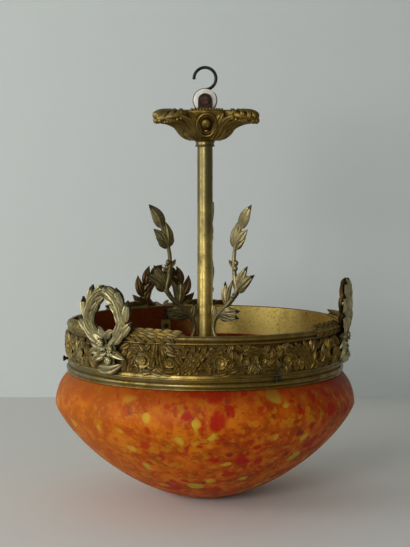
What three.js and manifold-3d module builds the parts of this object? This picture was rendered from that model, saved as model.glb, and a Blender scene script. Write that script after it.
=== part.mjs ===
// Pendant lamp: a glass bowl held by three thumb screws in a cast gallery ring with laurel wreaths,
// hung by a spider and a brass tube from a porcelain reel and a wire hook.
// Millimetres, +Z up. The origin is the hook's bearing point: the inside top of its bow.
// In every turned-out piece that repeats round the lamp, local -Y points away from the stem.
import * as THREE from "three";
import { mergeVertices } from "three/addons/utils/BufferGeometryUtils.js";
import Module from "manifold-3d";

const wasm = await Module();
wasm.setup();

// Driving dimensions

// Clearances
const CUT_GAP = 0.3; // round a piece that is cut to its neighbour
const SLIDE_GAP = 0.4; // between a bore and what slides or turns in it

// Wire hook and porcelain reel
const HOOK_WIRE = 3.7;
const BOW_RADIUS = 12.7; // centre line of the open upper bow
const LOOP_RADIUS = 12.5; // centre line of the lower loop, which lies in the reel's groove
const BOW_SWEEP = 275;
const LOOP_SWEEP = 310;
const REEL_RADIUS = 13.4;
const REEL_WIDTH = 12;
const REEL_CHAMFER = 1;
const REEL_GROOVE_MOUTH = 5.8;
const REEL_GROOVE_FLOOR = 2.8;

// Stirrup that carries the reel's bolt
const STIRRUP_WIDTH = 16;
const STRAP = 2;
const STIRRUP_DROP = 20; // from the bolt to the top of the stirrup's base
const STIRRUP_PLAY = 0.7; // between the reel and each cheek
const BOLT_RADIUS = 3;
const BOLT_HEAD_RADIUS = 5;
const BOLT_HEAD = 2.2;
const BOLT_SLOT = 1;
const BOLT_NUT_FLATS = 9;
const BOLT_NUT = 2.6;
const BOLT_TAIL = 1;

// Threaded nipples, their nuts and the bush in the tube's top
const NIPPLE_RADIUS = 5;
const NIPPLE_BORE = 3.4;
const LOCK_NUT_FLATS = 12.4;
const LOCK_NUT = 2.6;
const NIPPLE_TAIL = 0.6;
const NIPPLE_INTO_TUBE = 4;
const NIPPLE_INTO_HOLDER = 6;
const BUSH_FLANGE = 2.5;
const BUSH_PLUG = 9;

// Brass tube
const TUBE_RADIUS = 9;
const TUBE_WALL = 1.5;
const TUBE_LENGTH = 259.5;

// Ceiling cup on the tube, with three leafy lobes
const CUP_DROP = 46.5; // from the bolt to the cup's underside
const CUP_HEIGHT = 35;
const CUP_FOOT_RADIUS = 20;
const CUP_RIM_RADIUS = 43;
const CUP_LOBE_RADIUS = 69;
const CUP_WALL = 1.8;
const CUP_LOBES = 3;
const CUP_TURN = 63; // azimuth of the right lobe
const CUP_RIB = 0.6; // half the depth of the ribs on its side
const COLLAR_RADIUS = 11.6;
const COLLAR_HEIGHT = 7;
const SET_SCREW_RADIUS = 1.5;

// Hub at the tube's foot, and the three flat arms of the spider
const HUB_FLANGE_RADIUS = 24;
const HUB_FLANGE = 5;
const HUB_FLOOR = 2;
const HUB_COLLAR_RADIUS = 12.5;
const HUB_COLLAR = 4.5;
const CLAMP_PLATE = 2;
const ARM_WIDTH = 12;
const ARM_THICKNESS = 3;
const ARM_START = 8;
const ARM_DEPTH = 31; // from the ring's top to the arms
const ARM_TAB = 13; // height of the upturned end

// Glass bowl
const BOWL_RADIUS = 175.3;
const BOWL_WAIST_DEPTH = 95; // ring top to the widest line
const BOWL_DEPTH = 113.5; // widest line to the pole
const BOWL_NECK_RADIUS = 150;
const BOWL_LIP_PROUD = 3;
const BOWL_LIP_RADIUS = BOWL_NECK_RADIUS + BOWL_LIP_PROUD;
const BOWL_LIP_HEIGHT = 7;
const BOWL_WALL = 5;
const BOWL_FLAT_RADIUS = 20; // ground spot underneath
const BOWL_LIP_PLAY = 1.9; // under the arms

// Gallery ring: rim, frieze and base moulding. Its inside is made to the bowl's lip.
const RING_PLAY = 4.2;
const RING_INSIDE = BOWL_LIP_RADIUS + RING_PLAY;
const FRIEZE_WALL = 1.8;
const RIM_HEIGHT = 9.8;
const FRIEZE_HEIGHT = 33;
const BASE_HEIGHT = 15.8;
const RIM_BEAD = 2.9;
const RIM_FILLET = 1.5;
const BASE_TORUS = 2.8;
const BASE_PROUD = 3.2; // how far the lower torus stands out from the frieze
const BASE_SPLAY = 2.6; // how far its inner edge opens for the glass

// Wreaths
const FIRST_WREATH = -41; // azimuth; the other two follow at thirds of a turn
const WREATH_HEIGHT = 46; // rim to the top knot's centre
const WREATH_HALF_WIDTH = 26.5;
const WREATH_STANDOFF = 5.8; // from the frieze wall to the wreath's middle
const WREATH_THICKNESS = 8;
const WREATH_BEVEL = 0.3; // share of the thickness
const WREATH_KNOT = 5;
const WREATH_NOTCH = 8.5; // branch middle to the notch between two leaves
const WREATH_TIP = 11.5; // branch middle to a leaf tip
const WREATH_INNER = 10; // branch middle to the inner edge
const WREATH_END = 0.68; // share of these widths that is left at the branch's ends
const WREATH_LEAVES = 6; // rows on each branch
const CLUSTER_DEPTH = 22; // rim to the middle of the rose cluster
const CLUSTER_PROUD = 11.5; // how far the largest rose stands out from the frieze
const ROSE_RADIUS = 9.5;
const CLUSTER_LEAF_LENGTH = 27;
const CLUSTER_LEAF_WIDTH = 10;
const CLUSTER_LEAF_THICKNESS = 6;
const CLUSTER_LEAF_CURL = 4;
const SCREW_SHANK = 1.6;
const SCREW_HEAD = 3.2;
const SCREW_HEAD_HEIGHT = 2.2;
const SCREW_BITE = 6; // length of thread in the casting
const UPPER_SCREW_DEPTH = 13;
const LOWER_SCREW_DEPTH = 25.5;

// Laurel sprigs round the tube's foot
const SPRIG_OFFSET = 90; // from a wreath
const SPRIG_REACH = 66;
const SPRIG_STEM = 1.7;
const SPRIG_LEAF_WIDTH = 14;
const SPRIG_LEAF_THICKNESS = 3.2;
const SPRIG_LEAF_CURL = 2;
const BERRY = 2.4;
const SPRIG_FOOT = 2.5;
const SPRIG_FOOT_WIDTH = 8;
const SPRIG_SCREW_PLACE = 19.5;

// Thumb screws that hold the bowl
const THUMB_SCREW_TURN = 21; // from a sprig towards the front
const THUMB_SCREW_DEPTH = 47.2; // below the ring's top
const THUMB_SHANK = 1.7;
const THUMB_HEAD = 3.4;
const THUMB_HEAD_LENGTH = 3.4;
const THUMB_EXPOSED = 4;
const NUT_BOSS_RADIUS = 4.5;
const NUT_BOSS = 3.2;

// Lampholder and bulb
const HOLDER_CAP_RADIUS = 15.5;
const HOLDER_CAP_HEIGHT = 15;
const HOLDER_SHELL_LENGTH = 32;
const HOLDER_WALL = 1.2;
const SHADE_RING_RADIUS = 18;
const SHADE_RING = 5;
const INSERT_HEIGHT = 11;
const PLUNGER_RADIUS = 2.2;
const PLUNGER_SPREAD = 5;
const PLUNGER_REACH = 4;
const BULB_CAP_RADIUS = 11;
const BULB_CAP_LENGTH = 25;
const BULB_PIN = 1.1;
const BULB_PIN_PROUD = 1.9;
const BULB_PIN_DROP = 6.5;
const BULB_TWIST = 15;
const BULB_RADIUS = 30;
const BULB_LENGTH = 106;
const BULB_GLASS = 1.2;
const LEAD_WIRE = 0.7;
const FILAMENT_COIL = 0.8;

// Facets round each turned piece
const RING_FACETS = 48;
const BOWL_FACETS = 40;
const CUP_FACETS = 36;
const TUBE_FACETS = 20;
const HOLDER_FACETS = 14;
const NIPPLE_FACETS = 10;
const SCREW_FACETS = 8;

// Heights and places that follow from the driving dimensions
const bowZ = -(BOW_RADIUS - HOOK_WIRE / 2);
const pinZ = bowZ - BOW_RADIUS - LOOP_RADIUS;
const stirrupTop = pinZ - STIRRUP_DROP;
const stirrupBottom = stirrupTop - STRAP;
const tubeTop = stirrupBottom - BUSH_FLANGE;
const tubeBottom = tubeTop - TUBE_LENGTH;
const hubBottom = tubeBottom - HUB_FLOOR;
const hubTop = hubBottom + HUB_FLANGE;
const armBottom = hubBottom - ARM_THICKNESS;
const plateBottom = armBottom - CLAMP_PLATE;
const holderTop = plateBottom - LOCK_NUT;
const cupBottom = pinZ - CUP_DROP;
const ringTop = hubBottom + ARM_DEPTH;
const friezeTop = ringTop - RIM_HEIGHT;
const baseTop = friezeTop - FRIEZE_HEIGHT;
const ringBottom = baseTop - BASE_HEIGHT;
const friezeOutside = RING_INSIDE + FRIEZE_WALL;
const tubeBore = TUBE_RADIUS - TUBE_WALL;
const cheekInside = REEL_WIDTH / 2 + STIRRUP_PLAY;
const cheekOutside = cheekInside + STRAP;
const wreathRadius = friezeOutside + WREATH_STANDOFF;
const thumbScrewZ = ringTop - THUMB_SCREW_DEPTH;
const third = 360 / 3;
const wreathAzimuths = [0, 1, 2].map((i) => FIRST_WREATH + i * third);
const sprigAzimuths = wreathAzimuths.map((a) => a + SPRIG_OFFSET);
const thumbScrewAzimuths = sprigAzimuths.map((a) => a - THUMB_SCREW_TURN);

// Finishes
function finish(color, roughness, metalness) {
  return { color, roughness, metalness };
}
const GILT_BRONZE = finish(0x8a7a46, 0.5, 0.9);
const PALE_BRASS = finish(0xb59a55, 0.35, 1);
const DARK_STEEL = finish(0x26251f, 0.6, 0.8);
const COPPER_BROWN = finish(0x5a3a22, 0.5, 0.8);
const PORCELAIN = finish(0xe6e2d6, 0.25, 0);
const MOTTLED_GLASS = finish(0xc0571b, 0.3, 0);
const CLEAR_GLASS = finish(0xe8e4da, 0.1, 0);
const NICKEL = finish(0xb9b6ae, 0.3, 1);

// Solids

// A closed geometry as a solid
function solid(geometry) {
  const bare = geometry.clone();
  bare.deleteAttribute("normal");
  bare.deleteAttribute("uv");
  const merged = mergeVertices(bare, 1e-4);
  const index = merged.index.array;
  const kept = [];
  for (let i = 0; i < index.length; i += 3) {
    const [a, b, c] = [index[i], index[i + 1], index[i + 2]];
    if (a !== b && b !== c && c !== a) kept.push(a, b, c);
  }
  const vertProperties = Float32Array.from(merged.attributes.position.array);
  return new wasm.Manifold(
    new wasm.Mesh({ numProp: 3, vertProperties, triVerts: Uint32Array.from(kept) }),
  );
}

function geometryOf(manifold) {
  const mesh = manifold.getMesh();
  const geometry = new THREE.BufferGeometry();
  geometry.setAttribute("position", new THREE.BufferAttribute(mesh.vertProperties, 3));
  geometry.setIndex(new THREE.BufferAttribute(mesh.triVerts, 1));
  geometry.computeVertexNormals();
  return geometry;
}

function join(geometries) {
  return geometries.map(solid).reduce((all, next) => all.add(next));
}

// Points of an arc in an outline, from one angle in degrees to another
function arc(r, z, radius, from, to, steps) {
  return Array.from({ length: steps + 1 }, (_, i) => {
    const angle = THREE.MathUtils.degToRad(from + ((to - from) * i) / steps);
    return [r + radius * Math.cos(angle), z + radius * Math.sin(angle)];
  });
}

// An outline of [radius, height] points turned round the Z axis. An outline that keeps off the axis
// is closed by its first point.
function turned(outline, facets) {
  const points = outline.map(([r, z]) => new THREE.Vector2(r, z));
  const last = points[points.length - 1];
  if (points[0].x > 0 || last.x > 0) points.push(points[0].clone());
  if (THREE.ShapeUtils.area(points) < 0) points.reverse();
  return new THREE.LatheGeometry(points, facets).rotateX(Math.PI / 2);
}

// A round bar along Z
function bar(radius, bottom, top, facets) {
  const shape = new THREE.CylinderGeometry(radius, radius, top - bottom, facets);
  return shape.rotateX(Math.PI / 2).translate(0, 0, (top + bottom) / 2);
}

// A round bar pointing away from the stem, between two distances from it
function radialBar(radius, inner, outer, z, facets) {
  const shape = new THREE.CylinderGeometry(radius, radius, outer - inner, facets);
  return shape.translate(0, -(outer + inner) / 2, z);
}

function box(width, depth, bottom, top, x, y) {
  const shape = new THREE.BoxGeometry(width, depth, top - bottom);
  return shape.translate(x, y, (top + bottom) / 2);
}

// A nut along Z with two of its flats facing Y
function hexBar(flats, bottom, top) {
  return bar(flats / 2 / Math.cos(Math.PI / 6), bottom, top, 6).rotateZ(Math.PI / 6);
}

function sweep(curve, radius, sides, steps) {
  const section = new THREE.Shape();
  for (let i = 0; i < sides; i++) {
    const angle = (i / sides) * 2 * Math.PI;
    const place = [radius * Math.cos(angle), radius * Math.sin(angle)];
    if (i === 0) section.moveTo(...place);
    else section.lineTo(...place);
  }
  return new THREE.ExtrudeGeometry(section, { extrudePath: curve, steps });
}

// A pointed leaf along +Y, ridged along its middle, with its tip curled towards +Z
function leaf(length, width, thickness, curl) {
  const outline = [
    [0, 0],
    [width * 0.46, length * 0.3],
    [width * 0.42, length * 0.66],
    [0, length],
  ].map(([x, y]) => new THREE.Vector2(x, y));
  const shape = new THREE.LatheGeometry(outline, 4).scale(1, 1, thickness / width);
  const place = shape.attributes.position;
  for (let i = 0; i < place.count; i++) {
    const along = place.getY(i) / length;
    place.setZ(i, place.getZ(i) + curl * along * along);
  }
  return shape;
}

// A leaf set at a point, growing along a direction, with its face turned to a given side
function setLeaf(shape, point, direction, facing) {
  const y = direction.clone().normalize();
  const x = new THREE.Vector3().crossVectors(y, facing).normalize();
  const z = new THREE.Vector3().crossVectors(x, y);
  return shape.applyMatrix4(new THREE.Matrix4().makeBasis(x, y, z).setPosition(point));
}

const lamp = new THREE.Group();
lamp.name = "pendant_lamp";

function add(name, shape, look, azimuth = 0) {
  const geometry = shape.isBufferGeometry ? shape : geometryOf(shape);
  const mesh = new THREE.Mesh(geometry, new THREE.MeshStandardMaterial(look));
  mesh.name = name;
  mesh.rotation.z = THREE.MathUtils.degToRad(azimuth);
  lamp.add(mesh);
}

// Hook: an open bow above, and a loop round the reel below, in the plane of X and Z
class HookCurve extends THREE.Curve {
  getPoint(t, target = new THREE.Vector3()) {
    const bow = THREE.MathUtils.degToRad(BOW_SWEEP) * BOW_RADIUS;
    const loop = THREE.MathUtils.degToRad(LOOP_SWEEP) * LOOP_RADIUS;
    const run = t * (bow + loop);
    if (run < bow) {
      const angle = (bow - run) / BOW_RADIUS;
      return target.set(BOW_RADIUS * Math.sin(angle), 0, bowZ - BOW_RADIUS * Math.cos(angle));
    }
    const angle = (run - bow) / LOOP_RADIUS;
    return target.set(-LOOP_RADIUS * Math.sin(angle), 0, pinZ + LOOP_RADIUS * Math.cos(angle));
  }
}
add("suspension_hook", sweep(new HookCurve(), HOOK_WIRE / 2, 6, 34), DARK_STEEL);

function reel() {
  const half = REEL_WIDTH / 2;
  const floor = LOOP_RADIUS - HOOK_WIRE / 2 - CUT_GAP;
  const side = [
    [BOLT_RADIUS + SLIDE_GAP, half],
    [REEL_RADIUS - REEL_CHAMFER, half],
    [REEL_RADIUS, half - REEL_CHAMFER],
    [REEL_RADIUS, REEL_GROOVE_MOUTH / 2],
    [floor, REEL_GROOVE_FLOOR / 2],
  ];
  const mirrored = side.map(([r, y]) => [r, -y]).reverse();
  return turned([...side, ...mirrored], TUBE_FACETS).rotateX(Math.PI / 2).translate(0, 0, pinZ);
}
add("porcelain_reel", reel(), PORCELAIN);

// Stirrup: two round-ended cheeks on a flat base
function cheek(y) {
  const half = STIRRUP_WIDTH / 2;
  const face = new THREE.Shape();
  face.moveTo(-half, -STIRRUP_DROP - STRAP);
  face.lineTo(half, -STIRRUP_DROP - STRAP);
  face.lineTo(half, 0);
  face.absarc(0, 0, half, 0, Math.PI, false);
  const plate = new THREE.ExtrudeGeometry(face, { depth: STRAP, bevelEnabled: false, curveSegments: 8 });
  return plate.rotateX(Math.PI / 2).translate(0, y + STRAP, pinZ);
}

function alongY(radius, from, to, facets) {
  const shape = new THREE.CylinderGeometry(radius, radius, to - from, facets);
  return shape.translate(0, (from + to) / 2, pinZ);
}

function stirrup() {
  const base = box(STIRRUP_WIDTH, 2 * cheekOutside, stirrupBottom, stirrupTop, 0, 0);
  const body = join([base, cheek(-cheekOutside), cheek(cheekInside)]);
  const boltHole = alongY(BOLT_RADIUS + CUT_GAP, -2 * cheekOutside, 2 * cheekOutside, NIPPLE_FACETS);
  const nippleHole = bar(NIPPLE_RADIUS + CUT_GAP, stirrupBottom - STRAP, stirrupTop + STRAP, NIPPLE_FACETS);
  return body.subtract(solid(boltHole)).subtract(solid(nippleHole));
}
add("reel_stirrup", stirrup(), COPPER_BROWN);

function reelBolt() {
  const tail = cheekOutside + BOLT_NUT + BOLT_TAIL;
  const shank = alongY(BOLT_RADIUS, -cheekOutside - BOLT_HEAD / 2, tail, NIPPLE_FACETS);
  const head = alongY(BOLT_HEAD_RADIUS, -cheekOutside - BOLT_HEAD, -cheekOutside, NIPPLE_FACETS);
  const slot = new THREE.BoxGeometry(3 * BOLT_HEAD_RADIUS, BOLT_HEAD, BOLT_SLOT);
  slot.translate(0, -cheekOutside - 1.1 * BOLT_HEAD, pinZ);
  return join([shank, head]).subtract(solid(slot));
}
add("reel_bolt", reelBolt(), COPPER_BROWN);

function reelBoltNut() {
  const radius = BOLT_NUT_FLATS / 2 / Math.cos(Math.PI / 6);
  const nut = alongY(radius, cheekOutside, cheekOutside + BOLT_NUT, 6);
  const hole = alongY(BOLT_RADIUS + CUT_GAP, 0, 2 * cheekOutside + BOLT_NUT, NIPPLE_FACETS);
  return solid(nut).subtract(solid(hole));
}
add("reel_bolt_nut", reelBoltNut(), COPPER_BROWN);

// Upper nipple, its nut, and the bush that it screws into
function pipe(outer, inner, bottom, top, facets) {
  return turned([[inner, bottom], [outer, bottom], [outer, top], [inner, top]], facets);
}

const nippleFoot = tubeTop - BUSH_PLUG;
const nippleTop = stirrupTop + LOCK_NUT + NIPPLE_TAIL;
add("upper_nipple", pipe(NIPPLE_RADIUS, NIPPLE_BORE, nippleFoot, nippleTop, NIPPLE_FACETS), PALE_BRASS);

function lockNut(bottom) {
  const hole = bar(NIPPLE_RADIUS + CUT_GAP, bottom - 1, bottom + LOCK_NUT + 1, NIPPLE_FACETS);
  return solid(hexBar(LOCK_NUT_FLATS, bottom, bottom + LOCK_NUT)).subtract(solid(hole));
}
add("upper_lock_nut", lockNut(stirrupTop), PALE_BRASS);

const bushOutline = [
  [NIPPLE_RADIUS + CUT_GAP, nippleFoot],
  [tubeBore - CUT_GAP, nippleFoot],
  [tubeBore - CUT_GAP, tubeTop],
  [TUBE_RADIUS, tubeTop],
  [TUBE_RADIUS, stirrupBottom],
  [NIPPLE_RADIUS + CUT_GAP, stirrupBottom],
];
add("tube_bush", turned(bushOutline, TUBE_FACETS), PALE_BRASS);
add("stem_tube", pipe(TUBE_RADIUS, tubeBore, tubeBottom, tubeTop, TUBE_FACETS), PALE_BRASS);

// Ceiling cup: a turned cup whose rim is drawn out into lobes with curled ends
function ceilingCup() {
  const bore = TUBE_RADIUS + SLIDE_GAP;
  const flare = CUP_RIM_RADIUS - CUP_FOOT_RADIUS;
  const reach = CUP_LOBE_RADIUS - CUP_RIM_RADIUS;
  const at = (share) => cupBottom + CUP_HEIGHT * share;
  // Each row is radius and height between the lobes, then how far the lobe moves them
  const rows = [
    [bore, cupBottom, 0, 0],
    [CUP_FOOT_RADIUS - 5, cupBottom, 0, 0],
    [CUP_FOOT_RADIUS, at(0.07), 0, 0],
    [CUP_FOOT_RADIUS + flare * 0.32, at(0.28), 0, 0],
    [CUP_FOOT_RADIUS + flare * 0.62, at(0.52), reach * 0.12, 0],
    [CUP_FOOT_RADIUS + flare * 0.88, at(0.76), reach * 0.5, -CUP_HEIGHT * 0.08],
    [CUP_RIM_RADIUS, at(0.9), reach * 0.87, -CUP_HEIGHT * 0.3],
    [CUP_RIM_RADIUS, at(0.96), reach, -CUP_HEIGHT * 0.19],
    [CUP_RIM_RADIUS - 1, at(1), reach * 0.83, -CUP_HEIGHT * 0.05],
    [CUP_RIM_RADIUS - 3, at(0.98), reach * 0.35, CUP_HEIGHT * 0.02],
    [CUP_FOOT_RADIUS + flare * 0.88 - CUP_WALL, at(0.84), reach * 0.1, 0],
    [CUP_FOOT_RADIUS + flare * 0.6 - CUP_WALL, at(0.56), 0, 0],
    [CUP_FOOT_RADIUS - CUP_WALL, at(0.14), 0, 0],
    [bore, cupBottom + CUP_WALL, 0, 0],
  ];
  const cup = turned(rows, CUP_FACETS);
  const place = cup.attributes.position;
  for (let i = 0; i < place.count; i++) {
    const [x, y, z] = [place.getX(i), place.getY(i), place.getZ(i)];
    const radius = Math.hypot(x, y);
    const row = rows.find(([r, h]) => Math.abs(r - radius) < 1e-3 && Math.abs(h - z) < 1e-3);
    const azimuth = Math.atan2(x, -y);
    const lobe = Math.max(0, Math.cos(CUP_LOBES * azimuth)) ** 0.8;
    const rib = radius > CUP_FOOT_RADIUS ? CUP_RIB * Math.cos((CUP_FACETS / 2) * azimuth) : 0;
    const swollen = (radius + row[2] * lobe + rib) / radius;
    place.setXYZ(i, x * swollen, y * swollen, z + row[3] * lobe);
  }
  return cup;
}
add("ceiling_cup", ceilingCup(), GILT_BRONZE, CUP_TURN);

const collarMiddle = cupBottom - COLLAR_HEIGHT / 2;
function cupCollar() {
  const foot = cupBottom - COLLAR_HEIGHT;
  const ring = pipe(COLLAR_RADIUS, TUBE_RADIUS + SLIDE_GAP, foot, cupBottom, TUBE_FACETS);
  const bore = SET_SCREW_RADIUS + CUT_GAP;
  const hole = radialBar(bore, TUBE_RADIUS, 2 * COLLAR_RADIUS, collarMiddle, SCREW_FACETS);
  return solid(ring).subtract(solid(hole));
}
add("cup_collar", cupCollar(), PALE_BRASS, 180);
const setScrewTip = TUBE_RADIUS + CUT_GAP;
add(
  "cup_set_screw",
  radialBar(SET_SCREW_RADIUS, setScrewTip, COLLAR_RADIUS + 1, collarMiddle, SCREW_FACETS),
  DARK_STEEL,
  180,
);

// Hub: socket for the tube, and a flange for the sprigs above and the arms below
function hub() {
  const outline = [
    [NIPPLE_RADIUS + CUT_GAP, hubBottom],
    [HUB_FLANGE_RADIUS, hubBottom],
    [HUB_FLANGE_RADIUS, hubTop],
    [HUB_COLLAR_RADIUS, hubTop],
    [HUB_COLLAR_RADIUS, hubTop + HUB_COLLAR],
    [TUBE_RADIUS + CUT_GAP, hubTop + HUB_COLLAR],
    [TUBE_RADIUS + CUT_GAP, tubeBottom],
    [NIPPLE_RADIUS + CUT_GAP, tubeBottom],
  ];
  const holes = sprigAzimuths.map((azimuth) =>
    bar(SCREW_SHANK + CUT_GAP, hubBottom - 1, hubTop + 1, SCREW_FACETS)
      .translate(0, -SPRIG_SCREW_PLACE, 0)
      .rotateZ(THREE.MathUtils.degToRad(azimuth)),
  );
  return solid(turned(outline, TUBE_FACETS)).subtract(join(holes));
}
add("hub", hub(), GILT_BRONZE);

const lowerNippleTop = tubeBottom + NIPPLE_INTO_TUBE;
const lowerNippleFoot = holderTop - NIPPLE_INTO_HOLDER;
add(
  "lower_nipple",
  pipe(NIPPLE_RADIUS, NIPPLE_BORE, lowerNippleFoot, lowerNippleTop, NIPPLE_FACETS),
  PALE_BRASS,
);
const plateOutline = [
  [NIPPLE_RADIUS + CUT_GAP, plateBottom],
  [HUB_FLANGE_RADIUS - 2, plateBottom],
  [HUB_FLANGE_RADIUS - 2, armBottom],
  [NIPPLE_RADIUS + CUT_GAP, armBottom],
];
add("arm_clamp_plate", turned(plateOutline, TUBE_FACETS), GILT_BRONZE);
add("lower_lock_nut", lockNut(holderTop), PALE_BRASS);

// Distance from the stem at which a flat end of a given half width meets the ring's inner wall
function wallSeat(halfWidth) {
  const wall = RING_INSIDE * Math.cos(Math.PI / RING_FACETS) - CUT_GAP;
  return Math.sqrt(wall ** 2 - halfWidth ** 2);
}

// Spider arm: a flat strap with its outer end turned up against the ring's wall
const tabOutside = wallSeat(ARM_WIDTH / 2);
const tabInside = tabOutside - ARM_THICKNESS;
function spiderArm() {
  const strapMiddle = -(tabOutside + ARM_START) / 2;
  const strap = box(ARM_WIDTH, tabOutside - ARM_START, armBottom, hubBottom, 0, strapMiddle);
  const tabMiddle = -(tabOutside + tabInside) / 2;
  const tab = box(ARM_WIDTH, ARM_THICKNESS, armBottom, hubBottom + ARM_TAB, 0, tabMiddle);
  const hole = radialBar(
    SCREW_SHANK + CUT_GAP,
    tabInside - 1,
    tabOutside + 1,
    ringTop - LOWER_SCREW_DEPTH,
    SCREW_FACETS,
  );
  return join([strap, tab]).subtract(solid(hole));
}

// Gallery ring
const rimReach = friezeOutside - 0.3 + RIM_BEAD;
const rimOutline = [
  [RING_INSIDE, friezeTop],
  [friezeOutside, friezeTop],
  ...arc(friezeOutside + 0.2, friezeTop + RIM_FILLET, RIM_FILLET, -60, 60, 2),
  ...arc(rimReach - RIM_BEAD, ringTop - RIM_BEAD, RIM_BEAD, -75, 90, 4),
  [RING_INSIDE + 1, ringTop],
  [RING_INSIDE, ringTop - 1],
];

const torusR = friezeOutside + BASE_PROUD - BASE_TORUS;
const torusZ = ringBottom + 2.6 + BASE_TORUS;
const cove = baseTop - torusZ - BASE_TORUS;
const baseOutline = [
  [RING_INSIDE, ringBottom + 4.5],
  [RING_INSIDE + BASE_SPLAY, ringBottom],
  [torusR + 1.2, ringBottom],
  [torusR + 1.6, ringBottom + 1.8],
  ...arc(torusR, torusZ, BASE_TORUS, -80, 80, 3),
  [friezeOutside - 0.2, torusZ + BASE_TORUS + 0.4],
  [friezeOutside + 1.1, baseTop - 0.7 * cove],
  [friezeOutside + 1.1, baseTop - 0.3 * cove],
  [friezeOutside, baseTop],
  [RING_INSIDE, baseTop],
];

const friezeOutline = [
  [RING_INSIDE, baseTop],
  [friezeOutside, baseTop],
  [friezeOutside, friezeTop],
  [RING_INSIDE, friezeTop],
];

function screwHoles(azimuths, depths, radius) {
  const holes = azimuths.flatMap((azimuth) =>
    depths.map((depth) =>
      radialBar(radius, RING_INSIDE - 3, friezeOutside + 6, ringTop - depth, SCREW_FACETS).rotateZ(
        THREE.MathUtils.degToRad(azimuth),
      ),
    ),
  );
  return join(holes);
}

add("gallery_rim", turned(rimOutline, RING_FACETS), GILT_BRONZE);

const wreathScrewDepths = [UPPER_SCREW_DEPTH, LOWER_SCREW_DEPTH];
const friezeHoles = screwHoles(wreathAzimuths, wreathScrewDepths, SCREW_SHANK + CUT_GAP);
add("gallery_frieze", solid(turned(friezeOutline, RING_FACETS)).subtract(friezeHoles), GILT_BRONZE);
const baseHoles = screwHoles(thumbScrewAzimuths, [THUMB_SCREW_DEPTH], THUMB_SHANK + CUT_GAP);
add("gallery_base", solid(turned(baseOutline, RING_FACETS)).subtract(baseHoles), GILT_BRONZE);

// Wreath: two laurel branches that meet in a knot above the rim and rise from a cluster of roses.
// Its edges are rows of leaf tips that point up towards the knot.
function leafEdge(side, across) {
  const half = WREATH_HALF_WIDTH;
  const branch = new THREE.SplineCurve(
    [
      [half * 0.3, -CLUSTER_DEPTH * 0.55],
      [half * 0.83, WREATH_HEIGHT * 0.07],
      [half * 0.96, WREATH_HEIGHT * 0.3],
      [half * 0.78, WREATH_HEIGHT * 0.61],
      [half * 0.45, WREATH_HEIGHT * 0.85],
      [0, WREATH_HEIGHT * 0.96],
    ].map(([x, h]) => new THREE.Vector2(x, h)),
  );
  const [notch, tip] = across > 0 ? [WREATH_NOTCH, WREATH_TIP] : [WREATH_INNER, WREATH_INNER];
  const edge = [];
  for (let row = 0; row < WREATH_LEAVES; row++) {
    for (const [share, width] of [[0.1, notch], [0.85, tip]]) {
      const t = (0.96 * (row + share)) / WREATH_LEAVES;
      const swell = WREATH_END + (1 - WREATH_END) * Math.sin(Math.PI * t ** 1.6);
      const reach = across * width * swell;
      const point = branch.getPointAt(t);
      const tangent = branch.getTangentAt(t);
      edge.push([side * (point.x + reach * tangent.y), point.y - reach * tangent.x]);
    }
  }
  return edge;
}

function closedPath(Kind, points) {
  const path = new Kind();
  points.forEach(([x, h], i) => (i === 0 ? path.moveTo(x, h) : path.lineTo(x, h)));
  path.closePath();
  return path;
}

function wreath() {
  const face = closedPath(THREE.Shape, [...leafEdge(1, 1), ...leafEdge(-1, 1).reverse()]);
  face.holes.push(closedPath(THREE.Path, [...leafEdge(1, -1), ...leafEdge(-1, -1).reverse()]));
  const bevel = WREATH_THICKNESS * WREATH_BEVEL;
  const band = new THREE.ExtrudeGeometry(face, {
    depth: WREATH_THICKNESS - 2 * bevel,
    bevelThickness: bevel,
    bevelSize: bevel,
    bevelOffset: -bevel,
    bevelSegments: 1,
  });
  band.rotateX(Math.PI / 2).translate(0, WREATH_THICKNESS / 2 - bevel - wreathRadius, ringTop);
  const knot = new THREE.IcosahedronGeometry(WREATH_KNOT, 0);
  knot.translate(0, -wreathRadius, ringTop + WREATH_HEIGHT);
  return [band, knot];
}

// Roses, buds and ribbon ends of the cluster: place across and below the rim, radius
const roses = [
  [0, -CLUSTER_DEPTH * 0.55, ROSE_RADIUS * 0.8],
  [-ROSE_RADIUS * 1.15, -CLUSTER_DEPTH, ROSE_RADIUS],
  [ROSE_RADIUS * 1.1, -CLUSTER_DEPTH * 1.05, ROSE_RADIUS],
  [0, -CLUSTER_DEPTH * 1.6, ROSE_RADIUS * 0.85],
];

function cluster() {
  const pieces = roses.map(([x, h, radius]) => {
    const rose = new THREE.SphereGeometry(radius, 8, 4);
    return rose.scale(1, CLUSTER_PROUD / ROSE_RADIUS, 1).translate(x, -friezeOutside, ringTop + h);
  });
  const outward = new THREE.Vector3(0, -1, 0);
  const base = new THREE.Vector3(0, -friezeOutside - 3, ringTop - CLUSTER_DEPTH);
  for (const angle of [-160, -125, -55, -20, 12, 168]) {
    const turn = THREE.MathUtils.degToRad(angle);
    const direction = new THREE.Vector3(Math.cos(turn), 0.12, Math.sin(turn));
    const blade = leaf(CLUSTER_LEAF_LENGTH, CLUSTER_LEAF_WIDTH, CLUSTER_LEAF_THICKNESS, -CLUSTER_LEAF_CURL);
    pieces.push(setLeaf(blade, base, direction, outward));
  }
  return pieces;
}

// The space that the ring takes with a gap round it, which the wreaths are cut by
function ringEnvelope(gap) {
  const inner = friezeOutside - CLUSTER_PROUD;
  const outline = [
    [inner, ringBottom],
    [rimReach + gap, ringBottom],
    [rimReach + gap, baseTop + gap],
    [friezeOutside + gap, baseTop + gap],
    [friezeOutside + gap, friezeTop - gap],
    [rimReach + gap, friezeTop - gap],
    [rimReach + gap, ringTop + gap],
    [inner, ringTop + gap],
  ];
  return solid(turned(outline, RING_FACETS));
}

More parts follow.
